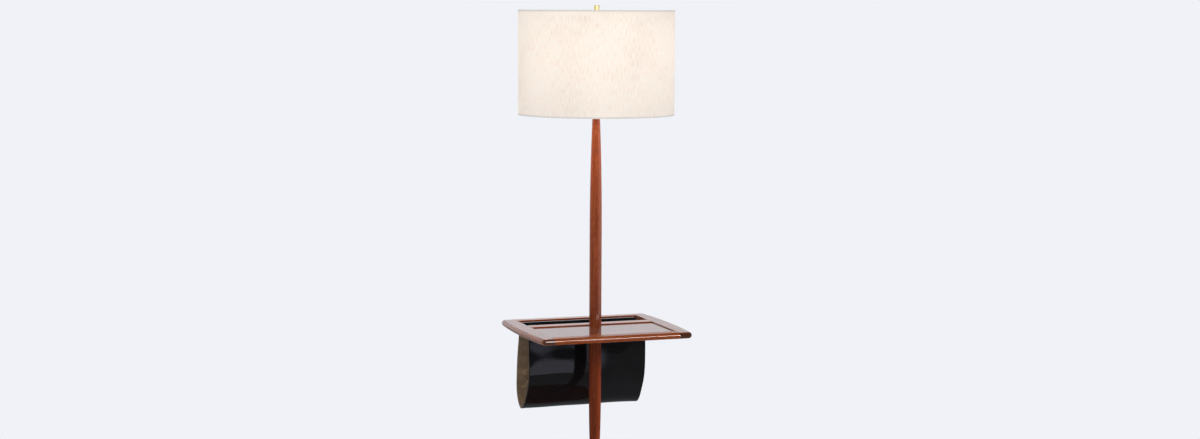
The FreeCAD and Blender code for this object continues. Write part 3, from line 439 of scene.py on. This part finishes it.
def linenMaterial(name, look):
    # Bleached linen, plain weave: uneven flax threads with slubs that run up the shade, thin enough to let
    # the lamp's light through, with an even painted glow of emission on top
    weave = linenWeave
    material, tree, cloth = startMaterial(name, "UVMap", {"uv_map": "clothMap"})  # metres across, then up
    parts = []
    for scale, detail, share in (weave["slubs"], weave["threads"], weave["weft"]):
        scaled = addNode(tree, "Mapping", {"Scale": scale}, {"Vector": cloth})
        pattern = addNode(tree, "TexNoise", {
            "noise_dimensions": "2D", "Scale": 1, "Detail": detail}, {"Vector": scaled})
        parts.append((pattern.outputs["Fac"], share))
    cloud = addNode(tree, "TexNoise", {
        "noise_dimensions": "2D", "Scale": weave["clouds"], "Detail": 2}, {"Vector": cloth})
    mixed = addedShares(tree, parts + [(cloud.outputs["Fac"], weave["cloudShare"])])
    tone = addNode(tree, "ValToRGB", {
        "stops": list(zip(weave["tones"], (look["dark"], look["middle"], look["light"])))}, {"Fac": mixed})
    bump = addNode(tree, "Bump", {"Strength": weave["bump"], "Distance": weave["depth"]}, {"Height": mixed})
    # the emission paints an even glow of the lamp's light on the cloth and tape, on top of the light that
    # really comes through
    face = addNode(tree, "BsdfPrincipled", {
        "IOR": 1.5, "Specular IOR Level": 0.1, "Roughness": 0.95, "Sheen Weight": 0.1,
        "Emission Strength": look["glow"]}, {"Base Color": tone, "Emission Color": tone, "Normal": bump})
    thin = addNode(tree, "Mix", {"data_type": "RGBA", 0: weave["bleach"], 7: (1, 1, 1, 1)}, {6: tone})
    through = addNode(tree, "BsdfTranslucent", None, {"Color": thin.outputs[2], "Normal": bump})
    both = addNode(tree, "MixShader", {0: look["through"]}, {1: face, 2: through})
    addNode(tree, "OutputMaterial", None, {"Surface": both})
    return material


# glow is painted lamplight: an even emission on the cloth and on its tape
shadeLinen = linenMaterial("bleachedLinen", {
    "dark": "e1d7ce", "middle": "f3ebe4", "light": "faf5f0", "through": 0.45, "glow": 0.175})
tapeLinen = linenMaterial("linenTape", {
    "dark": "d8d5d0", "middle": "e2dfda", "light": "eae7e2", "through": 0.06, "glow": 0.1})

sheetLook = {
    "dark": "f3f3f1", "light": "f8f8f6", "tint": "fffdf8", "rough": 0.35,
    "clouds": 30,  # 33 mm wide
    "milky": 0.55, "clear": 0.45,  # shares of the light that come through softened and straight
}


def sheetMaterial(look):
    # The stiff sheet behind the linen: milky styrene, smooth, lets most of the lamp's light through
    material, tree, place = startMaterial("milkyStyrene")
    tone = cloudedTone(tree, place, look["clouds"], 2, look)[1]
    face = addNode(tree, "BsdfPrincipled", {"IOR": 1.59, "Roughness": look["rough"]},
                   {"Base Color": tone.outputs[2]})
    through = addNode(tree, "BsdfTranslucent", None, {"Color": tone.outputs[2]})
    milky = addNode(tree, "MixShader", {0: look["milky"]}, {1: face, 2: through})
    clear = addNode(tree, "BsdfTransparent", {"Color": linearColour(look["tint"])})
    both = addNode(tree, "MixShader", {0: look["clear"]}, {1: milky, 2: clear})
    addNode(tree, "OutputMaterial", None, {"Surface": both})
    return material


glassLook = {
    "dark": "ffe6bd", "light": "fff0d2", "rough": 0.22, "glow": 1.1,
    "clouds": 40,  # 25 mm wide
}


def bulbMaterial(look):
    # Soft white glass, coated inside: a warm glow with faint clouds of the coating
    material, tree, place = startMaterial("softWhiteBulbGlass")
    glow = cloudedTone(tree, place, look["clouds"], 2, look)[1]
    glass = addNode(tree, "BsdfPrincipled", {
        "IOR": 1.5, "Roughness": look["rough"], "Emission Strength": look["glow"]},
        {"Base Color": glow.outputs[2], "Emission Color": glow.outputs[2]})
    addNode(tree, "OutputMaterial", None, {"Surface": glass})
    return material


milkySheet = sheetMaterial(sheetLook)
bulbGlass = bulbMaterial(glassLook)

finishes = [
    (baseWalnut, ["base_disc"]),
    (shadedLowerWalnut, ["lower_pole"]),
    (poleWalnut, ["upper_pole"]),
    (sideWalnut, ["left_rail", "right_rail"]),
    (shadedFrontWalnut, ["front_rail"]),
    (crossWalnut, ["back_rail", "cross_rail", "rail_dowels"]),
    (panelWalnut, ["table_panel"]),
    (castIron, ["base_weight"]),
    (drawnSteel, ["base_washer", "base_nut", "lamp_pipe", "table_plate", "plate_screws", "front_sling_rod",
                  "rear_sling_rod"]),
    (softRubber, ["cord_inlet"]),
    (polishedBrass, ["pole_cap", "harp_saddle", "harp", "left_ferrule", "right_ferrule", "harp_stud",
                     "holder_cap", "holder_shell", "centre_contact", "switch_shaft"]),
    (brownPaper, ["holder_liner"]),
    (blackPlastic, ["holder_core", "switch_knob"]),
    (thinThread, ["thread_shell", "bulb_base"]),
    (bulbGlass, ["bulb_glass"]),
    (whiteWire, ["shade_top_ring", "shade_bottom_ring", "spider_arms", "spider_hub"]),
    (milkySheet, ["shade_backing"]),
    (paleHighlightBrass, ["finial"]),
]
for material, names in finishes:
    for name in names:
        for holder in nodes[name].material_slots:
            holder.material = material
print("finishes set:", len(finishes))

slingSize = {
    "width": 0.370, "thickness": 0.0024, "layerGap": 0.0003, "columns": 116,
    "rodHeight": 0.5495, "frontRod": 0.0755, "rearRod": 0.1565, "frontLean": 3, "rearLean": 9,  # degrees
    "loop": 0.00445, "tuck": 70, "hem": 0.020, "straight": 0.028,  # loop is round the rod to the middle line
    "knots": [(0.0676, 0.4744), (0.0667, 0.4300), (0.0747, 0.3816), (0.0980, 0.3385), (0.1187, 0.3105),
              (0.1460, 0.2962), (0.1817, 0.3246), (0.1883, 0.3820), (0.1795, 0.4510)],  # the U, as y and z
    "steps": 150, "counts": (9, 7, 22, 11),  # points on the U, and on hem, tuck, loop and straight
    "freeBelow": 0.515, "freeOver": 0.08,  # the rods hold the sheet flat above this height
    "waves": [(0.0006, 2.6, 9, 0), (0.0004, 7.3, -21, 1.3)],  # height, angle across, along, at start
    "curl": 0.0009, "curlPower": 9,  # only the last part of each open end curls
    "sway": 0.0022, "swayAt": 0.20, "swayLong": 0.07,  # the left end's belly, down the leather
    "fineColumns": (-0.96, -0.72, 40),  # where the creases are
    "creases": [(-0.157, 0.402, 0.5, 0.012, 0.0014), (-0.160, 0.393, -0.3, 0.009, 0.0010),
                (-0.153, 0.364, 0.9, 0.011, 0.0013),
                (-0.163, 0.352, 0.1, 0.010, 0.0010)],  # x, z, turn, half length, height
    "creaseWidth": 0.0022, "creasesFrom": 0.35,  # from this length of leather on: the rear side
}


def arcPoints(centre, radius, first, last, count):
    # points on a circle in the YZ plane, angles in degrees from +Y towards +Z
    angles = np.radians(np.linspace(first, last, count))
    return np.stack([centre[0] + radius * np.cos(angles), centre[1] + radius * np.sin(angles)], -1)


def hemPoints(rodY, lean, side):
    # the hem inside, an S turn up to the rod, the loop over it and the first straight of the sheet, drawn
    # for the rear rod at the origin and upright, then leaned and mirrored for the front
    loop = slingSize["loop"]
    tuck = math.radians(slingSize["tuck"])
    inward = loop - slingSize["thickness"] - slingSize["layerGap"]
    tuckRadius = (loop * math.cos(tuck) + inward) / (1 - math.cos(tuck))
    leaveHeight = -loop * math.sin(tuck)
    hemTop = (inward, leaveHeight - tuckRadius * math.sin(tuck))
    hemCount, tuckCount, loopCount, straightCount = slingSize["counts"]
    flap = np.stack([np.full(hemCount, inward),
                     np.linspace(hemTop[1] - slingSize["hem"], hemTop[1], hemCount)], -1)
    tuckTurn = arcPoints((inward - tuckRadius, hemTop[1]), tuckRadius, 0, slingSize["tuck"], tuckCount)[1:]
    over = arcPoints((0, 0), loop, 180 + slingSize["tuck"], 0, loopCount)[1:]
    straight = np.stack([np.full(straightCount, loop),
                         np.linspace(0, -slingSize["straight"], straightCount)], -1)[1:]
    line = np.concatenate([flap, tuckTurn, over, straight])
    turn = math.radians(lean)
    line = line @ np.array([[math.cos(turn), math.sin(turn)], [-math.sin(turn), math.cos(turn)]])
    line[:, 0] *= side
    return line + (rodY, slingSize["rodHeight"])


def hangingPoints(start, end, knots, count):
    # a smooth curve from start to end through the given knots: the slopes at the knots are solved so that
    # the bend has no jump, and each span is a cubic over the straight length between its two knots
    points = np.concatenate([[start[0]], knots, [end[0]]])
    spans = np.linalg.norm(np.diff(points, axis=0), axis=1)
    along = np.concatenate([[0], np.cumsum(spans)])
    size = len(points)
    matrix = np.zeros((size, size))
    right = np.zeros((size, 2))
    matrix[0, 0] = matrix[-1, -1] = 1
    right[0], right[-1] = start[1], end[1]
    for i in range(1, size - 1):
        before, after = spans[i - 1], spans[i]
        matrix[i, i - 1], matrix[i, i], matrix[i, i + 1] = after, 2 * (before + after), before
        right[i] = 3 * (after * (points[i] - points[i - 1]) / before
                        + before * (points[i + 1] - points[i]) / after)
    slopes = np.linalg.solve(matrix, right)
    places = np.linspace(0, along[-1], count + 2)[1:-1]
    part = np.clip(np.searchsorted(along, places) - 1, 0, size - 2)
    share = ((places - along[part]) / spans[part])[:, None]
    span = spans[part][:, None]
    return ((2 * share ** 3 - 3 * share ** 2 + 1) * points[part]
            + (share ** 3 - 2 * share ** 2 + share) * span * slopes[part]
            + (3 * share ** 2 - 2 * share ** 3) * points[part + 1]
            + (share ** 3 - share ** 2) * span * slopes[part + 1])


def slingLine():
    # the leather's middle line in the YZ plane: front hem and loop, a deep U, rear loop and hem
    front = hemPoints(slingSize["frontRod"], slingSize["frontLean"], -1)
    rear = hemPoints(slingSize["rearRod"], slingSize["rearLean"], 1)[::-1]
    down = (front[-1] - front[-2]) / np.linalg.norm(front[-1] - front[-2])
    up = (rear[1] - rear[0]) / np.linalg.norm(rear[1] - rear[0])
    knots = np.array(slingSize["knots"])
    middle = hangingPoints((front[-1], down), (rear[0], up), knots, slingSize["steps"])
    return np.concatenate([front, middle, rear])


def makeSling():
    # the line carried across the width; away from the rods the sheet waves a little, its left end bellies
    # further out than its right one, its open ends curl, and small creases cross the rear side near its
    # left end
    line = slingLine()
    across = np.unique(np.concatenate([np.linspace(-1, 1, slingSize["columns"]),
                                       np.linspace(*slingSize["fineColumns"])]))
    steps = np.gradient(line, axis=0)
    outward = np.stack([steps[:, 1], -steps[:, 0]], -1) / np.linalg.norm(steps, axis=1)[:, None]
    free = np.clip((slingSize["freeBelow"] - line[:, 1]) / slingSize["freeOver"], 0, 1)
    free = free * free * (3 - 2 * free)
    length = np.concatenate([[0], np.cumsum(np.linalg.norm(np.diff(line, axis=0), axis=1))])
    u, v = np.meshgrid(length, across, indexing="ij")
    curl = slingSize["curl"] * np.abs(v) ** slingSize["curlPower"]
    wave = sum(tall * np.sin(wayAcross * v + wayAlong * u + start)
               for tall, wayAcross, wayAlong, start in slingSize["waves"])
    sway = -slingSize["sway"] * v * np.exp(-((u - slingSize["swayAt"]) / slingSize["swayLong"]) ** 2)
    lift = wave + curl + sway
    rub = np.zeros_like(lift)
    for x, z, turn, long, tall in slingSize["creases"]:
        # a ridge: a narrow bell across its own line, a wide one along it, only on the rear side
        alongX, alongZ = v * slingSize["width"] / 2 - x, line[:, None, 1] - z
        run = alongX * math.cos(turn) + alongZ * math.sin(turn)
        off = alongZ * math.cos(turn) - alongX * math.sin(turn)
        ridge = np.exp(-(run / long) ** 2 - (off / slingSize["creaseWidth"]) ** 2)
        ridge *= u > slingSize["creasesFrom"]
        lift -= tall * ridge
        rub = np.maximum(rub, ridge)
    lift *= free[:, None]
    points = np.empty((len(line), len(across), 3))
    points[..., 0] = v * slingSize["width"] / 2
    points[..., 1:] = line[:, None, :] + outward[:, None, :] * lift[..., None]
    mesh = gridMesh("sling", points[:, ::-1], False, False)  # turned round: the black side faces out
    mesh.attributes.new("creaseRub", "FLOAT", "POINT").data.foreach_set("value", rub[:, ::-1].ravel())
    sling = addPiece("leather_sling", mesh, [glazedLeather, brownSuede, cutEdge], "stand")
    thick = sling.modifiers.new("hideThickness", "SOLIDIFY")
    thick.thickness = slingSize["thickness"]
    thick.offset = 0
    thick.use_even_offset = True
    thick.material_offset = 1  # the inside takes the suede
    thick.material_offset_rim = 2  # and the rim the cut edge
    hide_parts("magazine_sling")
    print("sling hung:", round(float(length[-1]) * 1000, 1), "mm of leather")


stitchSize = {
    "pitch": 0.0042, "thread": 0.0008, "rows": (0.0125, 0.0245),  # each row's drop below its rod
    "half": 0.33,  # half a stitch's length, as a share of the pitch
    "lengths": (-1, -0.92, -0.55, 0.55, 0.92, 1), "radii": (0.05, 0.7, 1, 1, 0.7, 0.05),  # rounded ends
    "around": 8, "margin": 0.006,  # clear of the sling's ends
}


def makeStitches():
    # two rows of saddle stitch through each hem: a small capsule, rings of points along X, set at each
    # stitch's place on the outside and on the inside of the hem
    around, radius = stitchSize["around"], stitchSize["thread"] / 2
    half = stitchSize["pitch"] * stitchSize["half"]
    turn = roundAngles(around)
    lengths = half * np.array(stitchSize["lengths"])
    radii = radius * np.array(stitchSize["radii"])
    shape = np.stack([np.repeat(lengths[:, None], around, 1), radii[:, None] * np.cos(turn),
                      radii[:, None] * np.sin(turn)], -1).reshape(-1, 3)
    quads = [(r * around + c, r * around + (c + 1) % around, (r + 1) * around + (c + 1) % around,
              (r + 1) * around + c) for r in range(len(lengths) - 1) for c in range(around)]
    caps = [tuple(range(around))[::-1], tuple(range(len(shape) - around, len(shape)))]
    reach = slingSize["width"] / 2 - stitchSize["margin"]
    outsides = (slingSize["loop"] + slingSize["thickness"] / 2,
                slingSize["loop"] - 1.5 * slingSize["thickness"] - slingSize["layerGap"])
    places = []
    x = np.arange(-reach, reach, stitchSize["pitch"])
    for rod, lean, side in ((slingSize["frontRod"], slingSize["frontLean"], -1),
                            (slingSize["rearRod"], slingSize["rearLean"], 1)):
        angle = math.radians(lean)
        for drop in stitchSize["rows"]:
            for out in outsides:
                y = out * math.cos(angle) + drop * math.sin(angle)
                z = out * math.sin(angle) - drop * math.cos(angle)
                places.append(np.stack([x, np.full_like(x, rod + side * y),
                                        np.full_like(x, slingSize["rodHeight"] + z)], -1))
    places = np.concatenate(places)
    points = (places[:, None, :] + shape).reshape(-1, 3)
    faces = [tuple(i + n * len(shape) for i in face) for n in range(len(places)) for face in quads + caps]
    mesh = bpy.data.meshes.new("hemStitches")
    mesh.from_pydata(points.tolist(), [], faces)
    stitches = addPiece("hem_stitches", mesh, [waxedThread], "stand")


makeStitches()
makeSling()

shadeSize = {
    "radius": 0.2285, "cloth": 0.0006, "bottom": 1.1844, "top": 1.4886, "segments": 360, "rows": 60,
    "lap": 0.013, "lapRise": 0.0005, "lapSlope": 0.002, "sharp": 40,  # degrees, past which an edge is sharp
}


def makeShadeLinen():
    # a drum of cloth: height rows by angle columns, outside then inside, with a flat lap seam up the back
    angles = roundAngles(shadeSize["segments"]) - math.pi / 2
    heights = np.linspace(shadeSize["bottom"], shadeSize["top"], shadeSize["rows"])
    backWay = np.abs((angles - math.pi / 2 + math.pi) % (2 * math.pi) - math.pi) * shadeSize["radius"]
    lap = np.clip((shadeSize["lap"] / 2 - backWay) / shadeSize["lapSlope"], 0, 1) * shadeSize["lapRise"]
    outer = shadeSize["radius"] + lap
    inner = np.full_like(outer, shadeSize["radius"] - shadeSize["cloth"])
    radii = np.repeat([outer, inner], len(heights), 0)
    levels = np.concatenate([heights, heights[::-1]])
    points = np.stack([radii * np.cos(angles), radii * np.sin(angles),
                       np.repeat(levels[:, None], len(angles), 1)], -1)
    acrossUv = np.linspace(0, 2 * math.pi * shadeSize["radius"], len(angles) + 1)
    upUv = np.append(levels, levels[0]) - shadeSize["bottom"]
    uv = np.stack(np.meshgrid(acrossUv, upUv), -1)
    cloth = addPiece("linen_drum", gridMesh("linenDrum", points, True, True, uv), [shadeLinen], "shade")
    cloth.data.set_sharp_from_angle(angle=math.radians(shadeSize["sharp"]))
    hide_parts("shade_fabric")


tapeSize = {
    "outside": 0.2286, "middle": 0.228, "inside": 0.22735,  # radii
    "topEdge": 1.489, "bottomEdge": 1.184,  # heights
    "thick": 0.0004, "leg": 0.0045, "shoulder": 0.0006, "round": 0.4, "segments": 240,
    "mapEnd": 0.03,  # where the cloth map closes, past the tape's own outline
}


def makeTape(name, node, edge, inward):
    # a narrow tape folded over the drum's edge: an outline down the outside, round the rim and down the
    # inside, carried round the axis; inward is the way from the edge into the drum
    outside, inside = tapeSize["outside"], tapeSize["inside"]
    thick, leg, shoulder = tapeSize["thick"], tapeSize["leg"], tapeSize["shoulder"]
    rounded = thick * tapeSize["round"]
    profile = np.array([
        (outside, leg), (outside + thick, leg), (outside + thick, shoulder), (outside + rounded, 0),
        (inside - rounded, 0), (inside - thick, shoulder), (inside - thick, leg), (inside, leg),
        (inside, thick), (outside, thick)])  # radius and depth from the edge
    profile[:, 1] = edge + inward * profile[:, 1]
    if inward > 0:
        profile = profile[::-1]
    stepsUp = np.cumsum(np.linalg.norm(np.diff(profile, axis=0), axis=1))
    reach = np.concatenate([[0], stepsUp, [tapeSize["mapEnd"]]])
    aroundUv = np.linspace(0, 2 * math.pi * outside, tapeSize["segments"] + 1)
    mesh = turnedMesh(name, profile, tapeSize["segments"], np.stack(np.meshgrid(aroundUv, reach), -1))
    tape = addPiece(name, mesh, [tapeLinen], "shade")
    tape.data.set_sharp_from_angle(angle=math.radians(shadeSize["sharp"]))
    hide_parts(node)


makeShadeLinen()
makeTape("top_tape", "shade_top_trim", tapeSize["topEdge"], -1)
makeTape("bottom_tape", "shade_bottom_trim", tapeSize["bottomEdge"], 1)
print("shade covered")

feltSize = {
    "radius": 0.140, "thick": 0.002, "rounded": 0.0006, "skin": 0.0002,
    "hole": 0.002, "flat": 0.985, "rings": 12, "segments": 120,  # hole and flat are shares of the radius
}


def makeFelt():
    # a disc of pressed felt with a soft edge: an outline from the axis out and back, carried round
    radius, thick = feltSize["radius"], feltSize["thick"]
    soft = radius - feltSize["rounded"]
    out = np.linspace(feltSize["hole"], feltSize["flat"], feltSize["rings"])
    back = np.linspace(feltSize["flat"], feltSize["hole"], feltSize["rings"])
    top = [(radius * t, thick) for t in out]
    side = [(soft, thick - feltSize["skin"]), (radius, thick / 2), (soft, feltSize["skin"])]
    under = [(radius * t, 0.0) for t in back]
    mesh = turnedMesh("felt", (top + side + under)[::-1], feltSize["segments"])
    felt = addPiece("felt_disc", mesh, [woolFelt], "stand")
    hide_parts("base_pad")


makeFelt()
print("felt laid")

roomLook = {
    "paper": "f0f2f7",  # the pale backdrop and floor
    "lowLight": 0.18, "highLight": 1.2, "lightFrom": -0.1, "lightTo": 0.9,  # soft light from low to high
    "frontGloss": 0.14, "backGloss": 1.0, "glossFrom": 0.3, "glossTo": 0.8,  # what shiny surfaces mirror of
    "floorGloss": 0.36,  # the dim room in front, of the pale backdrop behind, and of the floor
    "fadeFrom": 0.45, "fadeTo": 1.05,  # metres from the pole over which the floor turns into backdrop
    "rings": (0.001, 0.5, 1.2, 2.5, 4.2), "segments": 96,
}


def makeWorld():
    # white light, stronger from above; camera, glossy and see-through rays get the pale backdrop instead,
    # and glossy ones find it dimmer towards the room in front
    world = bpy.data.worlds.new("paleRoom")
    bpy.context.scene.world = world
    world.use_nodes = True
    tree = world.node_tree
    tree.nodes.clear()
    rays = addNode(tree, "LightPath")
    place = addNode(tree, "TexCoord")
    way = addNode(tree, "SeparateXYZ", None, {0: place.outputs["Generated"]})
    front = addNode(tree, "MapRange", {
        "From Min": roomLook["glossFrom"], "From Max": roomLook["glossTo"],
        "To Min": roomLook["frontGloss"], "To Max": roomLook["backGloss"]}, {0: way.outputs["Y"]})
    above = addNode(tree, "MapRange", {
        "From Min": roomLook["lightFrom"], "From Max": roomLook["lightTo"],
        "To Min": roomLook["lowLight"], "To Max": roomLook["highLight"]}, {0: way.outputs["Z"]})
    paperColour = linearColour(roomLook["paper"])
    light = addNode(tree, "Background", {"Color": (1, 1, 1, 1)}, {"Strength": above})
    paper = addNode(tree, "Background", {"Color": paperColour, "Strength": 1.0})
    gloss = addNode(tree, "Background", {"Color": paperColour}, {"Strength": front})
    glossy = addNode(tree, "Math", {"operation": "MAXIMUM"},
                     {0: rays.outputs["Is Glossy Ray"], 1: rays.outputs["Is Transmission Ray"]})
    shine = addNode(tree, "MixShader", None, {0: glossy, 1: light, 2: gloss})
    seen = addNode(tree, "MixShader", None, {0: rays.outputs["Is Camera Ray"], 1: shine, 2: paper})
    addNode(tree, "OutputWorld", None, {"Surface": seen})


def makeFloor():
    # a flat disc of rings, pale, that keeps the shadow near the base and turns into backdrop further out;
    # glossy rays see it dimmer, and from below the camera looks through it
    material, tree, place = startMaterial("palePaperFloor")
    flat = addNode(tree, "VectorMath", {"operation": "MULTIPLY", 1: (1, 1, 0)},
                   {0: place.outputs["Object"]})
    distance = addNode(tree, "VectorMath", {"operation": "LENGTH"}, {0: flat})
    fade = addNode(tree, "MapRange", {
        "interpolation_type": "SMOOTHSTEP", "From Min": roomLook["fadeFrom"], "From Max": roomLook["fadeTo"]},
        {0: distance.outputs["Value"]})
    rays = addNode(tree, "LightPath")
    seen = addNode(tree, "Math", {"operation": "MULTIPLY"}, {0: fade, 1: rays.outputs["Is Camera Ray"]})
    paperColour = linearColour(roomLook["paper"])
    paint = addNode(tree, "BsdfPrincipled", {
        "Base Color": paperColour, "Roughness": 0.85, "Specular IOR Level": 0.2})
    paper = addNode(tree, "Emission", {"Color": paperColour, "Strength": 1.0})
    dim = addNode(tree, "Emission", {"Color": paperColour, "Strength": roomLook["floorGloss"]})
    mirrored = addNode(tree, "MixShader", None, {0: rays.outputs["Is Glossy Ray"], 1: paint, 2: dim})
    both = addNode(tree, "MixShader", None, {0: seen, 1: mirrored, 2: paper})
    side = addNode(tree, "NewGeometry")
    under = addNode(tree, "Math", {"operation": "MULTIPLY"},
                    {0: side.outputs["Backfacing"], 1: rays.outputs["Is Camera Ray"]})
    gone = addNode(tree, "BsdfTransparent")
    floorShader = addNode(tree, "MixShader", None, {0: under, 1: both, 2: gone})
    addNode(tree, "OutputMaterial", None, {"Surface": floorShader})
    angles = roundAngles(roomLook["segments"])
    rings = np.array(roomLook["rings"])[:, None]
    level = np.zeros((len(rings), len(angles)))
    points = np.stack([rings * np.cos(angles), rings * np.sin(angles), level], -1)
    mesh = gridMesh("floor", points[:, ::-1], False, True)  # turned round so that it faces up
    floor = newObject("floor", mesh)
    mesh.materials.append(material)


def addSoftbox(name, box):
    # brightness is the lamp's own, in the same unit as a white background of 1, so watts are that times pi
    # and its area; its second side runs along the given way; shineOnly leaves out its diffuse light, dull
    # its mirror image, and onlyFor names the only pieces that it lights
    size = box["size"]
    data = bpy.data.lights.new(name, "AREA")
    data.shape = "RECTANGLE"
    data.size, data.size_y = size
    data.energy = box["brightness"] * math.pi * size[0] * size[1]
    data.color = linearColour(box["colour"])[:3]
    lamp = newObject(name, data)
    back = (Vector(box["place"]) - Vector(box["aim"])).normalized()
    side = Vector(box.get("along", (0, 0, 1))).cross(back).normalized()
    turn = Matrix((side, back.cross(side), back)).transposed().to_4x4()
    lamp.matrix_world = Matrix.Translation(box["place"]) @ turn
    lamp.visible_camera = False
    lamp.visible_diffuse = not box.get("shineOnly")
    lamp.visible_glossy = not box.get("dull")
    if box.get("onlyFor"):
        receivers = bpy.data.collections.new(name + "Receivers")
        for pieceName in box["onlyFor"]:
            receivers.objects.link(nodes.get(pieceName) or bpy.data.objects[pieceName])
        lamp.light_linking.receiver_collection = receivers


softboxes = {
    "windowLeft": {
        "place": (-1.7, -3.8, 2.6), "aim": (0, 0, 0.9), "size": (2.4, 2.0), "brightness": 2.15,
        "colour": "fffdf8", "dull": True},
    "windowRight": {
        "place": (3.4, -1.6, 2.2), "aim": (0, 0, 0.9), "size": (1.6, 2.2), "brightness": 0.8,
        "colour": "fbfcff"},
    "lowSide": {  # the lower pole's bright right side
        "place": (2.3, -0.6, 1.5), "aim": (0, 0, 0.35), "size": (0.9, 0.9), "brightness": 33.0,
        "colour": "fffcfa", "onlyFor": ["lower_pole"]},
    "highSide": {
        "place": (2.4, -0.8, 0.9), "aim": (0, 0, 0.85), "size": (2.6, 1.6), "brightness": 1.7,
        "colour": "fffcfa", "onlyFor": ["upper_pole"]},
    "nosePane": {  # the bright line along the table's front
        "place": (1.25, -2.95, 1.12), "aim": (0, -0.25, 0.55), "size": (3.4, 0.5), "brightness": 62.0,
        "colour": "fdf4f2", "shineOnly": True, "onlyFor": ["front_rail", "left_rail"]},
    "floorPane": {  # the pale patch on the sling's front
        "place": (0.807, -3.389, 0.012), "aim": (0.807, -3.389, 1.0), "along": (0.3236, -0.946, 0),
        "size": (0.86, 5.20), "brightness": 1.85, "colour": "d6d2ea", "shineOnly": True,
        "onlyFor": ["leather_sling"]},
    "slotPane": {  # the shine on the sling's loops in the slot
        "place": (0.3, 1.3, 2.2), "aim": (0, 0.15, 0.55), "size": (1.8, 1.2), "brightness": 8.0,
        "colour": "e6ecfa", "shineOnly": True, "onlyFor": ["leather_sling"]},
    "brassPane": {
        "place": (-0.5, -3.0, 1.54), "aim": (0, 0, 1.49), "size": (5.0, 0.7), "brightness": 3.0,
        "colour": "fffaf0", "shineOnly": True, "onlyFor": ["finial"]},
}

bulbLook = {
    "watts": 1.58, "heights": (1.288, 1.43), "colour": "fffaf5", "ball": 0.02,
    "glows": 3, "glow": 84,  # glow is in a softbox's unit of brightness
    "glowRing": 0.205, "glowHeight": 1.196, "glowSize": (0.12, 0.03), "glowTurn": 0.7,
}


def addBulbLight(look):
    # the lamp's own light: two small balls, so that the shade is evenly bright from rim to rim
    for height in look["heights"]:
        data = bpy.data.lights.new("bulbLight", "POINT")
        data.energy = look["watts"]
        data.shadow_soft_size = look["ball"]
        data.color = linearColour(look["colour"])[:3]
        lamp = newObject("bulbLight", data)
        lamp.location = (0, 0, height)
        lamp.visible_camera = False
    for number in range(look["glows"]):
        # what the bright inside of the shade throws on the pole below it
        angle = 2 * math.pi * (number + look["glowTurn"]) / look["glows"]
        place = (look["glowRing"] * math.cos(angle), look["glowRing"] * math.sin(angle), look["glowHeight"])
        addSoftbox("shadeGlow" + str(number), {
            "place": place, "aim": (0, 0, 0.4), "size": look["glowSize"], "brightness": look["glow"],
            "colour": look["colour"], "dull": True, "onlyFor": ["upper_pole"]})


makeWorld()
makeFloor()
for name, box in softboxes.items():
    addSoftbox(name, box)
addBulbLight(bulbLook)
nodes["bulb_glass"].visible_shadow = False  # its glass lets the light out
print("floor and light set")
